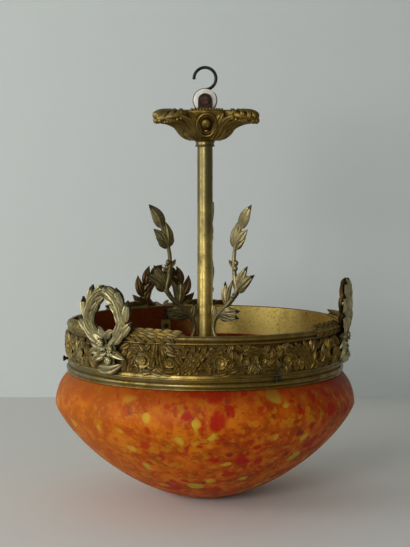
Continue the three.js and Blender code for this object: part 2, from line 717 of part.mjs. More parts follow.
function wreathCasting(azimuth) {
  const reach = screwTip + CUT_GAP;
  const hole = (depth) => radialBar(SCREW_SHANK + CUT_GAP, 0, reach, ringTop - depth, SCREW_FACETS);
  const holes = join(wreathScrewDepths.map(hole));
  const ring = ringEnvelope(CUT_GAP).rotate([0, 0, -azimuth]);
  return join([...wreath(), ...cluster()]).subtract(ring).subtract(holes);
}

const screwTip = friezeOutside + SCREW_BITE;
function wreathScrew(depth, seat) {
  const z = ringTop - depth;
  const head = radialBar(SCREW_HEAD, seat - SCREW_HEAD_HEIGHT, seat, z, 6);
  return join([head, radialBar(SCREW_SHANK, seat - 1, screwTip, z, SCREW_FACETS)]);
}

// Sprig: a flat casting in a plane through the lamp's middle, with its leaves in that plane
function sprig() {
  const seat = hubTop - ringTop;
  const place = (reach, height) => new THREE.Vector3(0, -reach, ringTop + height);
  const spread = (reach, height) => place(SPRIG_REACH * reach, SPRIG_REACH * height);
  const stem = new THREE.CatmullRomCurve3([
    place(HUB_COLLAR_RADIUS + 5, seat + 1),
    place(HUB_COLLAR_RADIUS + 2.6, seat + 7),
    place(TUBE_RADIUS + 3.6, -SPRIG_REACH * 0.15),
    spread(0.24, 0.02),
    spread(0.39, 0.18),
    spread(0.58, 0.35),
    spread(0.71, 0.55),
    spread(0.67, 0.79),
    spread(0.65, 1.09),
    spread(0.7, 1.39),
    spread(0.8, 1.65),
    spread(0.92, 1.88),
  ]);
  const pieces = [sweep(stem, SPRIG_STEM, 5, 18)];
  // Each leaf: share along the stem, growth outwards and upwards as shares of the reach, and its width
  const leaves = [
    [0.17, -0.03, 0.29, 0.5],
    [0.19, 0.53, 0.14, 0.9],
    [0.2, 0.47, -0.03, 0.9],
    [0.21, 0.32, -0.09, 0.8],
    [0.3, 0.14, 0.47, 0.55],
    [0.45, 0.26, 0.44, 0.95],
    [0.44, 0.41, 0.3, 0.95],
    [0.46, 0.14, 0.33, 0.7],
    [0.61, -0.11, 0.14, 0.35],
    [0.75, 0.05, 0.44, 0.9],
    [0.75, 0.29, 0.3, 0.95],
    [0.74, 0.23, 0.18, 0.7],
    [0.89, 0.24, 0.42, 0.85],
  ];
  const facing = new THREE.Vector3(1, 0, 0);
  for (const [share, out, up, width] of leaves) {
    const growth = new THREE.Vector3(0, -out, up).multiplyScalar(SPRIG_REACH);
    const blade = leaf(growth.length(), SPRIG_LEAF_WIDTH * width, SPRIG_LEAF_THICKNESS, SPRIG_LEAF_CURL);
    pieces.push(setLeaf(blade, stem.getPointAt(share), growth, facing));
  }
  for (const [share, side] of [[0.6, -1], [0.64, 1]]) {
    const berry = new THREE.IcosahedronGeometry(BERRY, 0);
    const middle = stem.getPointAt(share);
    pieces.push(berry.translate(middle.x + side * BERRY * 0.9, middle.y - BERRY, middle.z));
  }
  const collar = new THREE.IcosahedronGeometry(SPRIG_STEM + 1.4, 0);
  pieces.push(collar.translate(...stem.getPointAt(0.42).toArray()));
  const [footStart, footEnd] = [HUB_COLLAR_RADIUS + 1, HUB_FLANGE_RADIUS - 0.5];
  const footMiddle = -(footStart + footEnd) / 2;
  const foot = box(SPRIG_FOOT_WIDTH, footEnd - footStart, hubTop, hubTop + SPRIG_FOOT, 0, footMiddle);
  const hole = bar(SCREW_SHANK + CUT_GAP, hubTop - 1, hubTop + 20, SCREW_FACETS);
  hole.translate(0, -SPRIG_SCREW_PLACE, 0);
  const room = bar(SCREW_HEAD + CUT_GAP, hubTop + SPRIG_FOOT, hubTop + 8, SCREW_FACETS);
  room.translate(0, -SPRIG_SCREW_PLACE, 0);
  const below = box(60, 60, hubTop - 20, hubTop, 0, -30);
  const keepOut = join([hole, room, below]);
  return join([...pieces, foot]).subtract(keepOut);
}

function sprigScrew() {
  const top = hubTop + SPRIG_FOOT;
  const head = bar(SCREW_HEAD, top, top + SCREW_HEAD_HEIGHT, SCREW_FACETS);
  const shank = bar(SCREW_SHANK, hubBottom + 0.5, top + 1, SCREW_FACETS);
  return join([head, shank]).translate([0, -SPRIG_SCREW_PLACE, 0]);
}

// Thumb screw: a thin shank with a trumpet-shaped head, and the boss that it is threaded through
const thumbTip = BOWL_NECK_RADIUS + CUT_GAP;
const thumbWall = friezeOutside + 1.1;
function thumbScrew() {
  const headStart = thumbWall + THUMB_EXPOSED;
  const headEnd = headStart + THUMB_HEAD_LENGTH;
  const outline = [
    [0, thumbTip],
    [THUMB_SHANK, thumbTip],
    [THUMB_SHANK, headStart],
    [THUMB_SHANK + (THUMB_HEAD - THUMB_SHANK) * 0.35, headStart + THUMB_HEAD_LENGTH * 0.3],
    [THUMB_HEAD, headStart + THUMB_HEAD_LENGTH * 0.62],
    [THUMB_HEAD, headEnd - 0.3],
    [THUMB_HEAD * 0.7, headEnd],
    [0, headEnd],
  ];
  return turned(outline, SCREW_FACETS).rotateX(Math.PI / 2).translate(0, 0, thumbScrewZ);
}

function nutBoss() {
  const outer = wallSeat(NUT_BOSS_RADIUS);
  const boss = radialBar(NUT_BOSS_RADIUS, outer - NUT_BOSS, outer, thumbScrewZ, SCREW_FACETS);
  const hole = radialBar(THUMB_SHANK + CUT_GAP, 0, outer + 1, thumbScrewZ, SCREW_FACETS);
  return solid(boss).subtract(solid(hole));
}

for (const i of [0, 1, 2]) {
  const label = "_" + (i + 1);
  add("spider_arm" + label, spiderArm(), GILT_BRONZE, wreathAzimuths[i]);
  add("wreath" + label, wreathCasting(wreathAzimuths[i]), GILT_BRONZE, wreathAzimuths[i]);
  const upperScrew = wreathScrew(UPPER_SCREW_DEPTH, wallSeat(SCREW_HEAD));
  add("wreath_screw_upper" + label, upperScrew, DARK_STEEL, wreathAzimuths[i]);
  const lowerScrew = wreathScrew(LOWER_SCREW_DEPTH, tabInside);
  add("wreath_screw_lower" + label, lowerScrew, DARK_STEEL, wreathAzimuths[i]);
  add("laurel_sprig" + label, sprig(), GILT_BRONZE, sprigAzimuths[i]);
  add("sprig_screw" + label, sprigScrew(), DARK_STEEL, sprigAzimuths[i]);
  add("thumb_screw" + label, thumbScrew(), DARK_STEEL, thumbScrewAzimuths[i]);
  add("thumb_screw_boss" + label, nutBoss(), PALE_BRASS, thumbScrewAzimuths[i]);
}

// Glass bowl: neck and lip inside the ring, a round shoulder, and a low curved bottom
const waistZ = ringTop - BOWL_WAIST_DEPTH;
function bowlOutline() {
  const lipTop = armBottom - BOWL_LIP_PLAY;
  const lipBottom = lipTop - BOWL_LIP_HEIGHT;
  const neckZ = thumbScrewZ - THUMB_SHANK - 1;
  const neckInside = BOWL_NECK_RADIUS - BOWL_WALL;
  const mouth = RING_INSIDE + BASE_SPLAY - 2 * CUT_GAP;
  const drop = ringBottom - waistZ;
  const shoulder = [
    [BOWL_NECK_RADIUS, neckZ],
    [RING_INSIDE - 2, ringBottom + 4.5],
    [mouth, ringBottom],
    [mouth + (BOWL_RADIUS - mouth) * 0.42, ringBottom - drop * 0.2],
    [mouth + (BOWL_RADIUS - mouth) * 0.86, ringBottom - drop * 0.6],
    [BOWL_RADIUS, waistZ],
  ];
  // The side leaves the waist as an upright curve and flattens towards the pole
  const side = (t, radius, depth) => {
    const angle = t * (Math.PI / 2);
    return [radius * Math.cos(angle) ** 1.08, waistZ - depth * Math.sin(angle) ** 1.59];
  };
  const steps = 6;
  const flatZ = waistZ - BOWL_DEPTH;
  const outside = [...shoulder];
  for (let i = 1; i < steps; i++) outside.push(side(i / steps, BOWL_RADIUS, BOWL_DEPTH));
  outside.push([BOWL_FLAT_RADIUS, flatZ], [0, flatZ]);
  // Inside from the pole up to the mouth, over the lip, and down the outside
  const inside = [[0, flatZ + BOWL_WALL]];
  const within = (t) => side(t, BOWL_RADIUS - BOWL_WALL, BOWL_DEPTH - BOWL_WALL);
  for (let i = steps - 1; i > 0; i--) inside.push(within(i / steps));
  inside.push([BOWL_RADIUS - BOWL_WALL, waistZ]);
  inside.push([shoulder[3][0] - BOWL_WALL * 0.8, shoulder[3][1] - BOWL_WALL * 0.6]);
  inside.push([neckInside, neckZ - 2], [neckInside, lipTop]);
  const lip = [
    [BOWL_LIP_RADIUS - 1.5, lipTop],
    [BOWL_LIP_RADIUS, lipTop - 1.5],
    [BOWL_LIP_RADIUS, lipBottom + 2],
    [BOWL_NECK_RADIUS, lipBottom],
  ];
  return [...inside, ...lip, ...outside];
}
add("glass_bowl", turned(bowlOutline(), BOWL_FACETS), MOTTLED_GLASS);

// Lampholder
const capBottom = holderTop - HOLDER_CAP_HEIGHT;
function holderCap() {
  const neck = NIPPLE_RADIUS + CUT_GAP;
  const inside = HOLDER_CAP_RADIUS - HOLDER_WALL;
  return turned(
    [
      [neck, holderTop],
      [neck, holderTop - 5],
      [neck + 2, holderTop - 5],
      [inside - 2, holderTop - 7],
      [inside, holderTop - 9.5],
      [inside, capBottom],
      [HOLDER_CAP_RADIUS, capBottom],
      [HOLDER_CAP_RADIUS, holderTop - 9],
      [HOLDER_CAP_RADIUS - 3, holderTop - 5],
      [neck + 3.5, holderTop - 3],
      [neck + 3.5, holderTop],
    ],
    HOLDER_FACETS,
  );
}
add("lampholder_cap", holderCap(), PALE_BRASS);

// Shell: a wide collar in the cap's mouth, then a narrow skirt with two bayonet slots
const insertTop = capBottom + 4;
const insertBottom = insertTop - INSERT_HEIGHT;
const skirtInside = BULB_CAP_RADIUS + SLIDE_GAP;
const skirtOutside = skirtInside + HOLDER_WALL;
const shellBottom = capBottom - HOLDER_SHELL_LENGTH;
const bulbTop = insertBottom - PLUNGER_REACH - CUT_GAP;
const bulbPinZ = bulbTop - BULB_PIN_DROP;
function holderShell() {
  const wide = HOLDER_CAP_RADIUS;
  const room = wide - HOLDER_WALL;
  const step = insertBottom - 1;
  const shell = solid(
    turned(
      [
        [skirtInside, shellBottom],
        [skirtOutside, shellBottom],
        [skirtOutside, step - HOLDER_WALL],
        [wide, step - HOLDER_WALL],
        [wide, capBottom - CUT_GAP],
        [room, capBottom - CUT_GAP],
        [room, step],
        [skirtInside, step],
      ],
      HOLDER_FACETS,
    ),
  );
  const slotWidth = 2 * (BULB_PIN + SLIDE_GAP);
  const slots = [];
  for (const side of [0, 180]) {
    for (let turn = 0; turn <= BULB_TWIST; turn += 5) {
      const notch = radialBar(slotWidth / 2, skirtInside - 2, skirtOutside + 2, bulbPinZ, 8);
      slots.push(notch.rotateZ(THREE.MathUtils.degToRad(side + turn)));
    }
    const entry = box(slotWidth, 8, shellBottom - 1, bulbPinZ, 0, -skirtInside);
    slots.push(entry.rotateZ(THREE.MathUtils.degToRad(side + BULB_TWIST)));
  }
  return shell.subtract(join(slots));
}
add("lampholder_shell", holderShell(), PALE_BRASS);

const shadeRingTop = insertBottom - 1 - HOLDER_WALL - CUT_GAP;
add(
  "lampholder_ring",
  pipe(SHADE_RING_RADIUS, skirtOutside + CUT_GAP, shadeRingTop - SHADE_RING, shadeRingTop, HOLDER_FACETS),
  PALE_BRASS,
);

function holderInsert() {
  const disc = bar(HOLDER_CAP_RADIUS - HOLDER_WALL - CUT_GAP, insertBottom, insertTop, HOLDER_FACETS);
  const bore = PLUNGER_RADIUS + CUT_GAP;
  const holes = [-1, 1].map((side) =>
    bar(bore, insertBottom - 1, insertTop + 1, SCREW_FACETS).translate(side * PLUNGER_SPREAD, 0, 0),
  );
  return solid(disc).subtract(join(holes));
}
add("lampholder_insert", holderInsert(), PORCELAIN);
for (const [label, side] of [["left", -1], ["right", 1]]) {
  const plunger = bar(PLUNGER_RADIUS, insertBottom - PLUNGER_REACH, insertTop - 2, SCREW_FACETS);
  add("plunger_" + label, plunger.translate(side * PLUNGER_SPREAD, 0, 0), PALE_BRASS);
}

// Bulb: bayonet cap with two pins, glass envelope, and the glass stem that carries the filament
const capFoot = bulbTop - BULB_CAP_LENGTH;
function bulbCap() {
  const wall = 1;
  const shell = turned(
    [
      [0, bulbTop],
      [BULB_CAP_RADIUS - 2, bulbTop],
      [BULB_CAP_RADIUS, bulbTop - 2],
      [BULB_CAP_RADIUS, capFoot],
      [BULB_CAP_RADIUS - wall, capFoot],
      [BULB_CAP_RADIUS - wall, bulbTop - 4],
      [0, bulbTop - 4],
    ],
    HOLDER_FACETS,
  );
  const pins = [0, 180].map((turn) =>
    radialBar(BULB_PIN, BULB_CAP_RADIUS - 1.5, BULB_CAP_RADIUS + BULB_PIN_PROUD, bulbPinZ, 8).rotateZ(
      THREE.MathUtils.degToRad(turn),
    ),
  );
  return join([shell, ...pins]);
}
add("bulb_cap", bulbCap(), NICKEL);

const bulbMiddle = bulbTop - BULB_LENGTH + BULB_RADIUS;
const bulbNeck = BULB_CAP_RADIUS - 1 - CUT_GAP;
function bulbGlass() {
  const layer = (inset) => {
    const neck = bulbNeck - inset;
    const radius = BULB_RADIUS - inset;
    return [
      [neck, capFoot + 6],
      [neck, capFoot],
      [neck + 3, capFoot - 9],
      ...arc(0, bulbMiddle, radius, 48, -66, 5),
      [0, bulbMiddle - radius],
    ];
  };
  return turned([...layer(BULB_GLASS).reverse(), ...layer(0)], HOLDER_FACETS);
}
add("bulb_glass", bulbGlass(), CLEAR_GLASS);

function filamentMount() {
  const top = capFoot + 5;
  const inside = bulbNeck - BULB_GLASS - CUT_GAP;
  const foot = bulbMiddle + BULB_RADIUS * 0.2;
  const wireEnd = bulbMiddle + BULB_RADIUS * 0.07;
  const stem = turned(
    [
      [0, top],
      [inside, top],
      [inside, top - 2],
      [inside * 0.36, top - 8],
      [inside * 0.22, foot],
      [0, foot],
    ],
    SCREW_FACETS,
  );
  const wires = [-1, 1].map((side) => {
    const curve = new THREE.QuadraticBezierCurve3(
      new THREE.Vector3(side * LEAD_WIRE, 0, bulbMiddle + BULB_RADIUS * 0.4),
      new THREE.Vector3(side * BULB_RADIUS * 0.13, 0, bulbMiddle + BULB_RADIUS * 0.27),
      new THREE.Vector3(side * BULB_RADIUS * 0.4, 0, wireEnd),
    );
    return sweep(curve, LEAD_WIRE, 5, 3);
  });
  const coil = new THREE.CylinderGeometry(FILAMENT_COIL, FILAMENT_COIL, BULB_RADIUS * 0.8, 6);
  coil.rotateZ(Math.PI / 2).translate(0, 0, wireEnd);
  return join([stem, ...wires, coil]);
}
add("filament_mount", filamentMount(), NICKEL);

export default lamp;
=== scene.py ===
"""A pendant lamp: a mottled glass bowl in a cast gallery ring with laurel wreaths, hung by a brass tube,
a ceiling cup and a porcelain reel from a wire hook.

Lengths inside the shapes are millimetres, and heights are the part's own, where zero is the inside top
of the hook's bow. Azimuths are degrees round the stem, from the front towards the right.
"""

import functools
import math
import random

import bmesh
import bpy
import numpy as np
from mathutils import Matrix, Vector


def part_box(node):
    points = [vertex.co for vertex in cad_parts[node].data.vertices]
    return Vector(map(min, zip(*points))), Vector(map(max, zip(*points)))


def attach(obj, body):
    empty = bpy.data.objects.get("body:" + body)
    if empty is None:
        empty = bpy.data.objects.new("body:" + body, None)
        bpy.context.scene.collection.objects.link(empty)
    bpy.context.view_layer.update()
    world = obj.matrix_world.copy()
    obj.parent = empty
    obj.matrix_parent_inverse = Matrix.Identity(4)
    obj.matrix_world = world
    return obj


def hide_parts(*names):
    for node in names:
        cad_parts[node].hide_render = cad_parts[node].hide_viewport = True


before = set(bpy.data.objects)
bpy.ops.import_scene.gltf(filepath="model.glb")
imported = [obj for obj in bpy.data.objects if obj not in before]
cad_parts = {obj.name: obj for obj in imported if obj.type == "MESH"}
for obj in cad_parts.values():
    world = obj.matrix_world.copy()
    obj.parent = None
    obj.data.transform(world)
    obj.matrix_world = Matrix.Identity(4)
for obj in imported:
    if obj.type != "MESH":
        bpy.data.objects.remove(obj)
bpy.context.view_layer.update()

bl_info = {
    "name": "Pendant lamp with a glass bowl",
    "version": (1, 0, 0),
    "blender": (4, 5, 0),
    "location": "View3D > Sidebar > Lamp",
    "description": "Builds a pendant lamp with a mottled glass bowl in a cast gallery ring",
    "category": "Object",
}

MM = 0.001
SEED = 7
THIRDS = (1, 2, 3)
SIDES = (-1, 1)
CUP_LOBES = (63, 183, 303)

# The camera's place in metres, how many degrees it looks down, and its lens in millimetres
CAMERA_PLACE = (0, -1.6, -0.103)
CAMERA_DOWN = 4.8
CAMERA_LENS = 90.2


def linear(code):
    """An sRGB hex colour as linear red, green and blue."""
    shares = [int(code[i : i + 2], 16) / 255 for i in (1, 3, 5)]
    return [s / 12.92 if s <= 0.04045 else ((s + 0.055) / 1.055) ** 2.4 for s in shares]


def top(node):
    """The height of a CAD node's top."""
    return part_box(node)[1].z / MM


def bottom(node):
    """The height of a CAD node's underside."""
    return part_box(node)[0].z / MM


def reach(node):
    """How far a CAD node reaches to the right."""
    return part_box(node)[1].x / MM


# Sizes and colours that a user may change


def length(name, description, default):
    return bpy.props.FloatProperty(
        name=name, description=description, default=default * MM, unit="LENGTH", precision=4
    )


def colour(name, description, code):
    return bpy.props.FloatVectorProperty(
        name=name, description=description, default=linear(code), subtype="COLOR", min=0, max=1
    )


class LampSizes(bpy.types.PropertyGroup):
    wire: length("Hook wire", "Thickness of the hook's wire", 3.7)
    tube: length("Tube", "Outside radius of the brass tube", 9.0)
    ring_inside: length("Ring inside", "Inside radius of the gallery ring", 157.2)
    ring_wall: length("Ring wall", "Thickness of the frieze", 1.8)
    relief: length("Relief", "Height of the frieze's carving", 2.6)
    wreath_leaf: length("Wreath leaf", "Length of the wreaths' leaves", 28.0)
    sprig_leaf: length("Sprig leaf", "Width of the sprigs' leaves", 13.0)
    bowl: length("Bowl", "Radius of the glass bowl", reach("glass_bowl"))
    bowl_wall: length("Glass", "Thickness of the bowl's wall", 5.0)


class LampColours(bpy.types.PropertyGroup):
    glass_ground: colour("Glass ground", "Orange ground of the bowl", "#B04C05")
    glass_red: colour("Glass red", "Red mottles in the bowl", "#A01A04")
    glass_yellow: colour("Glass yellow", "Yellow mottles in the bowl", "#BFA02C")
    gilding: colour("Gilding", "Worn gilding of the castings", "#9F823D")
    brass: colour("Brass", "Brass of the tube and the fittings", "#CCB468")
    # patina also colours the painted shade in the castings' hollows
    patina: colour("Patina", "Brown patina in the hollows", "#2A1D08")
    wall: colour("Wall", "Backdrop", "#D3D7D2")
    table: colour("Floor", "Floor", "#E4E2D8")


# Materials

MIX_FACTOR, MIX_A, MIX_B, MIX_OUT = 0, 6, 7, 2
COLOUR_MIX = {"data_type": "RGBA", "clamp_factor": True}
SMOOTH = {"interpolation_type": "SMOOTHSTEP"}
BLACK, WHITE = (0, 0, 0), (1, 1, 1)


def rgba(shade):
    """A hex colour or a linear one, with its alpha."""
    return (*(linear(shade) if isinstance(shade, str) else shade), 1)


def add_node(tree, kind, inputs=(), settings=(), ramp=()):
    """Adds a node with its settings. Each input is a value, an output of another node to link, or a node
    that stands for its first output in use."""
    node = tree.nodes.new("ShaderNode" + kind)
    for name, value in dict(settings).items():
        setattr(node, name, value)
    for name, value in dict(inputs).items():
        if isinstance(value, bpy.types.Node):
            value = value.outputs[MIX_OUT if value.bl_idname == "ShaderNodeMix" else 0]
        if isinstance(value, bpy.types.NodeSocket):
            tree.links.new(value, node.inputs[name])
        else:
            node.inputs[name].default_value = value
    if ramp:
        stops = node.color_ramp.elements
        while len(stops) < len(ramp):
            stops.new(1)
        for stop, (place, shade) in zip(stops, ramp):
            stop.position = place
            stop.color = rgba(shade)
    return node


def blank(name):
    """A material without nodes, what adds nodes to it, and its object coordinates in metres."""
    material = bpy.data.materials.new(name)
    material.use_nodes = True
    material.node_tree.nodes.clear()
    add = functools.partial(add_node, material.node_tree)
    return material, add, add("TexCoord").outputs["Object"]


def surfaced(material, add, inputs, clear_where=None):
    """Gives a material its shader with these inputs. The shader is left out where clear_where is 1."""
    shader = add("BsdfPrincipled", inputs)
    if clear_where is not None:
        shader = add("MixShader", {0: clear_where, 1: shader, 2: add("BsdfTransparent")})
    add("OutputMaterial", {"Surface": shader})
    return material


def per(size):
    """The texture scale at which one feature is about this many millimetres."""
    return 1 / (size * MM)


def cast_bronze(name, gilding, patina, green, shine, hollow_reach=0.74):
    """Sand-cast bronze, fire-gilt and then worn: dull gold on what stands proud, brown patina with painted
    shade in the hollows, a grey-green bloom whose pale colour spreads towards the left as painted light,
    and a skin that is never quite smooth. grime is how open a hollow may be and still be painted brown."""
    material, add, place = blank(name)
    cloud = add("TexNoise", {"Vector": place, "Scale": per(14), "Detail": 5, "Roughness": 0.62})
    grain = add("TexNoise", {"Vector": place, "Scale": per(1.6), "Detail": 3, "Roughness": 0.6})
    bloom = add("TexNoise", {"Vector": place, "Scale": per(22), "Detail": 6, "Roughness": 0.7})
    # Brown patina with painted shade over it: the more enclosed a hollow is, the darker it is painted
    hollow = add("AmbientOcclusion", {"Distance": 4 * MM}, {"samples": 6}).outputs["AO"]
    sunk = add("ValToRGB", {"Fac": hollow}, ramp=[(0.3 * hollow_reach, WHITE), (hollow_reach, BLACK)])
    blotch = add("ValToRGB", {"Fac": cloud}, ramp=[(0.42, BLACK), (0.68, (0.55, 0.55, 0.55))])
    tarnish_and_hollow_shade = add("Math", {0: sunk, 1: blotch}, {"operation": "MAXIMUM", "use_clamp": True})
    grit = add("MapRange", {"Value": grain, "From Min": 0.35, "From Max": 0.7})
    # Painted light: the bloom's pale grey-green spreads towards the left, the window's side
    across = add("SeparateXYZ", {"Vector": place}).outputs["X"]
    lit_left = add("MapRange", {"Value": across, "From Min": 0.03, "From Max": -0.15, "To Max": 0.2})
    spread = add("Math", {0: bloom, 1: lit_left}, {"operation": "ADD"})
    bloom_and_lit_left = add("MapRange", {"Value": spread, "From Min": 0.5, "From Max": 0.74, "To Max": green})
    tone = rgba(gilding)
    for cover, shade in [(grit, [c * 0.66 for c in gilding]), (bloom_and_lit_left, "#9C956C"), (tarnish_and_hollow_shade, patina)]:
        tone = add("Mix", {MIX_FACTOR: cover, MIX_A: tone, MIX_B: rgba(shade)}, COLOUR_MIX)
    inputs = {
        "Base Color": tone,
        "Roughness": add("MapRange", {"Value": tarnish_and_hollow_shade, "To Min": shine, "To Max": shine + 0.26}),
        "Metallic": add("MapRange", {"Value": tarnish_and_hollow_shade, "To Min": 1, "To Max": 0.72}),
        "Normal": add("Bump", {"Height": grain, "Strength": 0.35, "Distance": 0.4 * MM}),
    }
    return surfaced(material, add, inputs)


def drawn_brass(name, brass, patina, shine, speckle, painted_left_shade=0.0, dull_top=0.0):
    """Drawn brass whose lacquer has gone: a satin sheen, brown freckles and clouds of tarnish.
    painted_left_shade is how much painted shade, with a painted red reflection of the glass, darkens the
    left, and dull_top how much greyer up the tube."""
    material, add, place = blank(name)
    cloud = add("TexNoise", {"Vector": place, "Scale": per(26), "Detail": 5, "Roughness": 0.6})
    freckles = add("TexNoise", {"Vector": place, "Scale": per(3.2), "Detail": 4, "Roughness": 0.72})
    spots = add("MapRange", {"Value": freckles, "From Min": 0.52, "From Max": 0.68, "To Max": speckle})
    veils = add("MapRange", {"Value": cloud, "From Min": 0.45, "From Max": 0.72, "To Max": speckle * 0.8})
    tarnish = add("Math", {0: spots, 1: veils}, {"operation": "ADD", "use_clamp": True})
    tone = add("Mix", {MIX_FACTOR: tarnish, MIX_A: rgba(brass), MIX_B: rgba(patina)}, COLOUR_MIX)
    axes = add("SeparateXYZ", {"Vector": place}).outputs
    foot, rise = bottom("stem_tube") * MM, (top("stem_tube") - bottom("stem_tube")) * MM
    # Tones that deepen along an axis, the left one painted shade and reflection: how far their edge
    # wanders, where they start and are full, colour
    for strength, axis, wander, start, full, shade in [
        (painted_left_shade, "X", 0.06, 0.062, -0.01, "#6A1E0A"),
        (dull_top, "Z", 0.12, foot + 0.3 * rise + 0.06, foot + 0.68 * rise + 0.06, "#69603F"),
    ]:
        if strength:
            edge = add("Math", {0: cloud, 1: wander, 2: axes[axis]}, {"operation": "MULTIPLY_ADD"})
            limits = {"From Min": start, "From Max": full, "To Max": strength}
            stain = add("MapRange", {"Value": edge, **limits}, SMOOTH)
            tone = add("Mix", {MIX_FACTOR: stain, MIX_A: tone, MIX_B: rgba(shade)}, COLOUR_MIX)
    inputs = {
        "Base Color": tone,
        "Roughness": add("MapRange", {"Value": tarnish, "To Min": shine, "To Max": shine + 0.3}),
        "Metallic": 1,
        "Normal": add("Bump", {"Height": freckles, "Strength": 0.12, "Distance": 0.3 * MM}),
    }
    return surfaced(material, add, inputs)


def dark_steel(name):
    """Steel wire and screws browned by age: almost black, with a dull glint and rust in places."""
    material, add, place = blank(name)
    rust = add("TexNoise", {"Vector": place, "Scale": per(5), "Detail": 6, "Roughness": 0.7})
    tones = [(0.40, "#1D1B17"), (0.56, "#34302A"), (0.70, "#4A3420")]
    inputs = {
        "Base Color": add("ValToRGB", {"Fac": rust}, ramp=tones),
        "Roughness": add("MapRange", {"Value": rust, "To Min": 0.32, "To Max": 0.62}),
        "Metallic": 0.85,
        "Normal": add("Bump", {"Height": rust, "Strength": 0.2, "Distance": 0.2 * MM}),
    }
    return surfaced(material, add, inputs)


def brown_copper(name, light):
    """Copper alloy under a thick brown oxide, which leaves only a faint metal glint. light is how much
    lighter than usual the oxide is."""
    material, add, place = blank(name)
    cloud = add("TexNoise", {"Vector": place, "Scale": per(4), "Detail": 5, "Roughness": 0.65})
    tones = [(0.34, "#1B1008"), (0.52, "#2F1D10"), (0.72, "#553820")]
    ramp = [(level, [c * light for c in linear(code)]) for level, code in tones]
    shade = add("ValToRGB", {"Fac": cloud}, ramp=ramp)
    return surfaced(material, add, {"Base Color": shade, "Metallic": 0.7, "Roughness": 0.48})


def glazed_porcelain(name):
    """Pressed electrical porcelain under a clear glaze: warm white, glossy, with grey dust in places."""
    material, add, place = blank(name)
    dust = add("TexNoise", {"Vector": place, "Scale": per(6), "Detail": 4, "Roughness": 0.6})
    tones = [(0.42, "#E4DFD0"), (0.62, "#CFC7B3"), (0.78, "#A79C86")]
    shade = add("ValToRGB", {"Fac": dust}, ramp=tones)
    return surfaced(material, add, {"Base Color": shade, "Roughness": 0.22, "IOR": 1.5, "Coat Weight": 0.5})


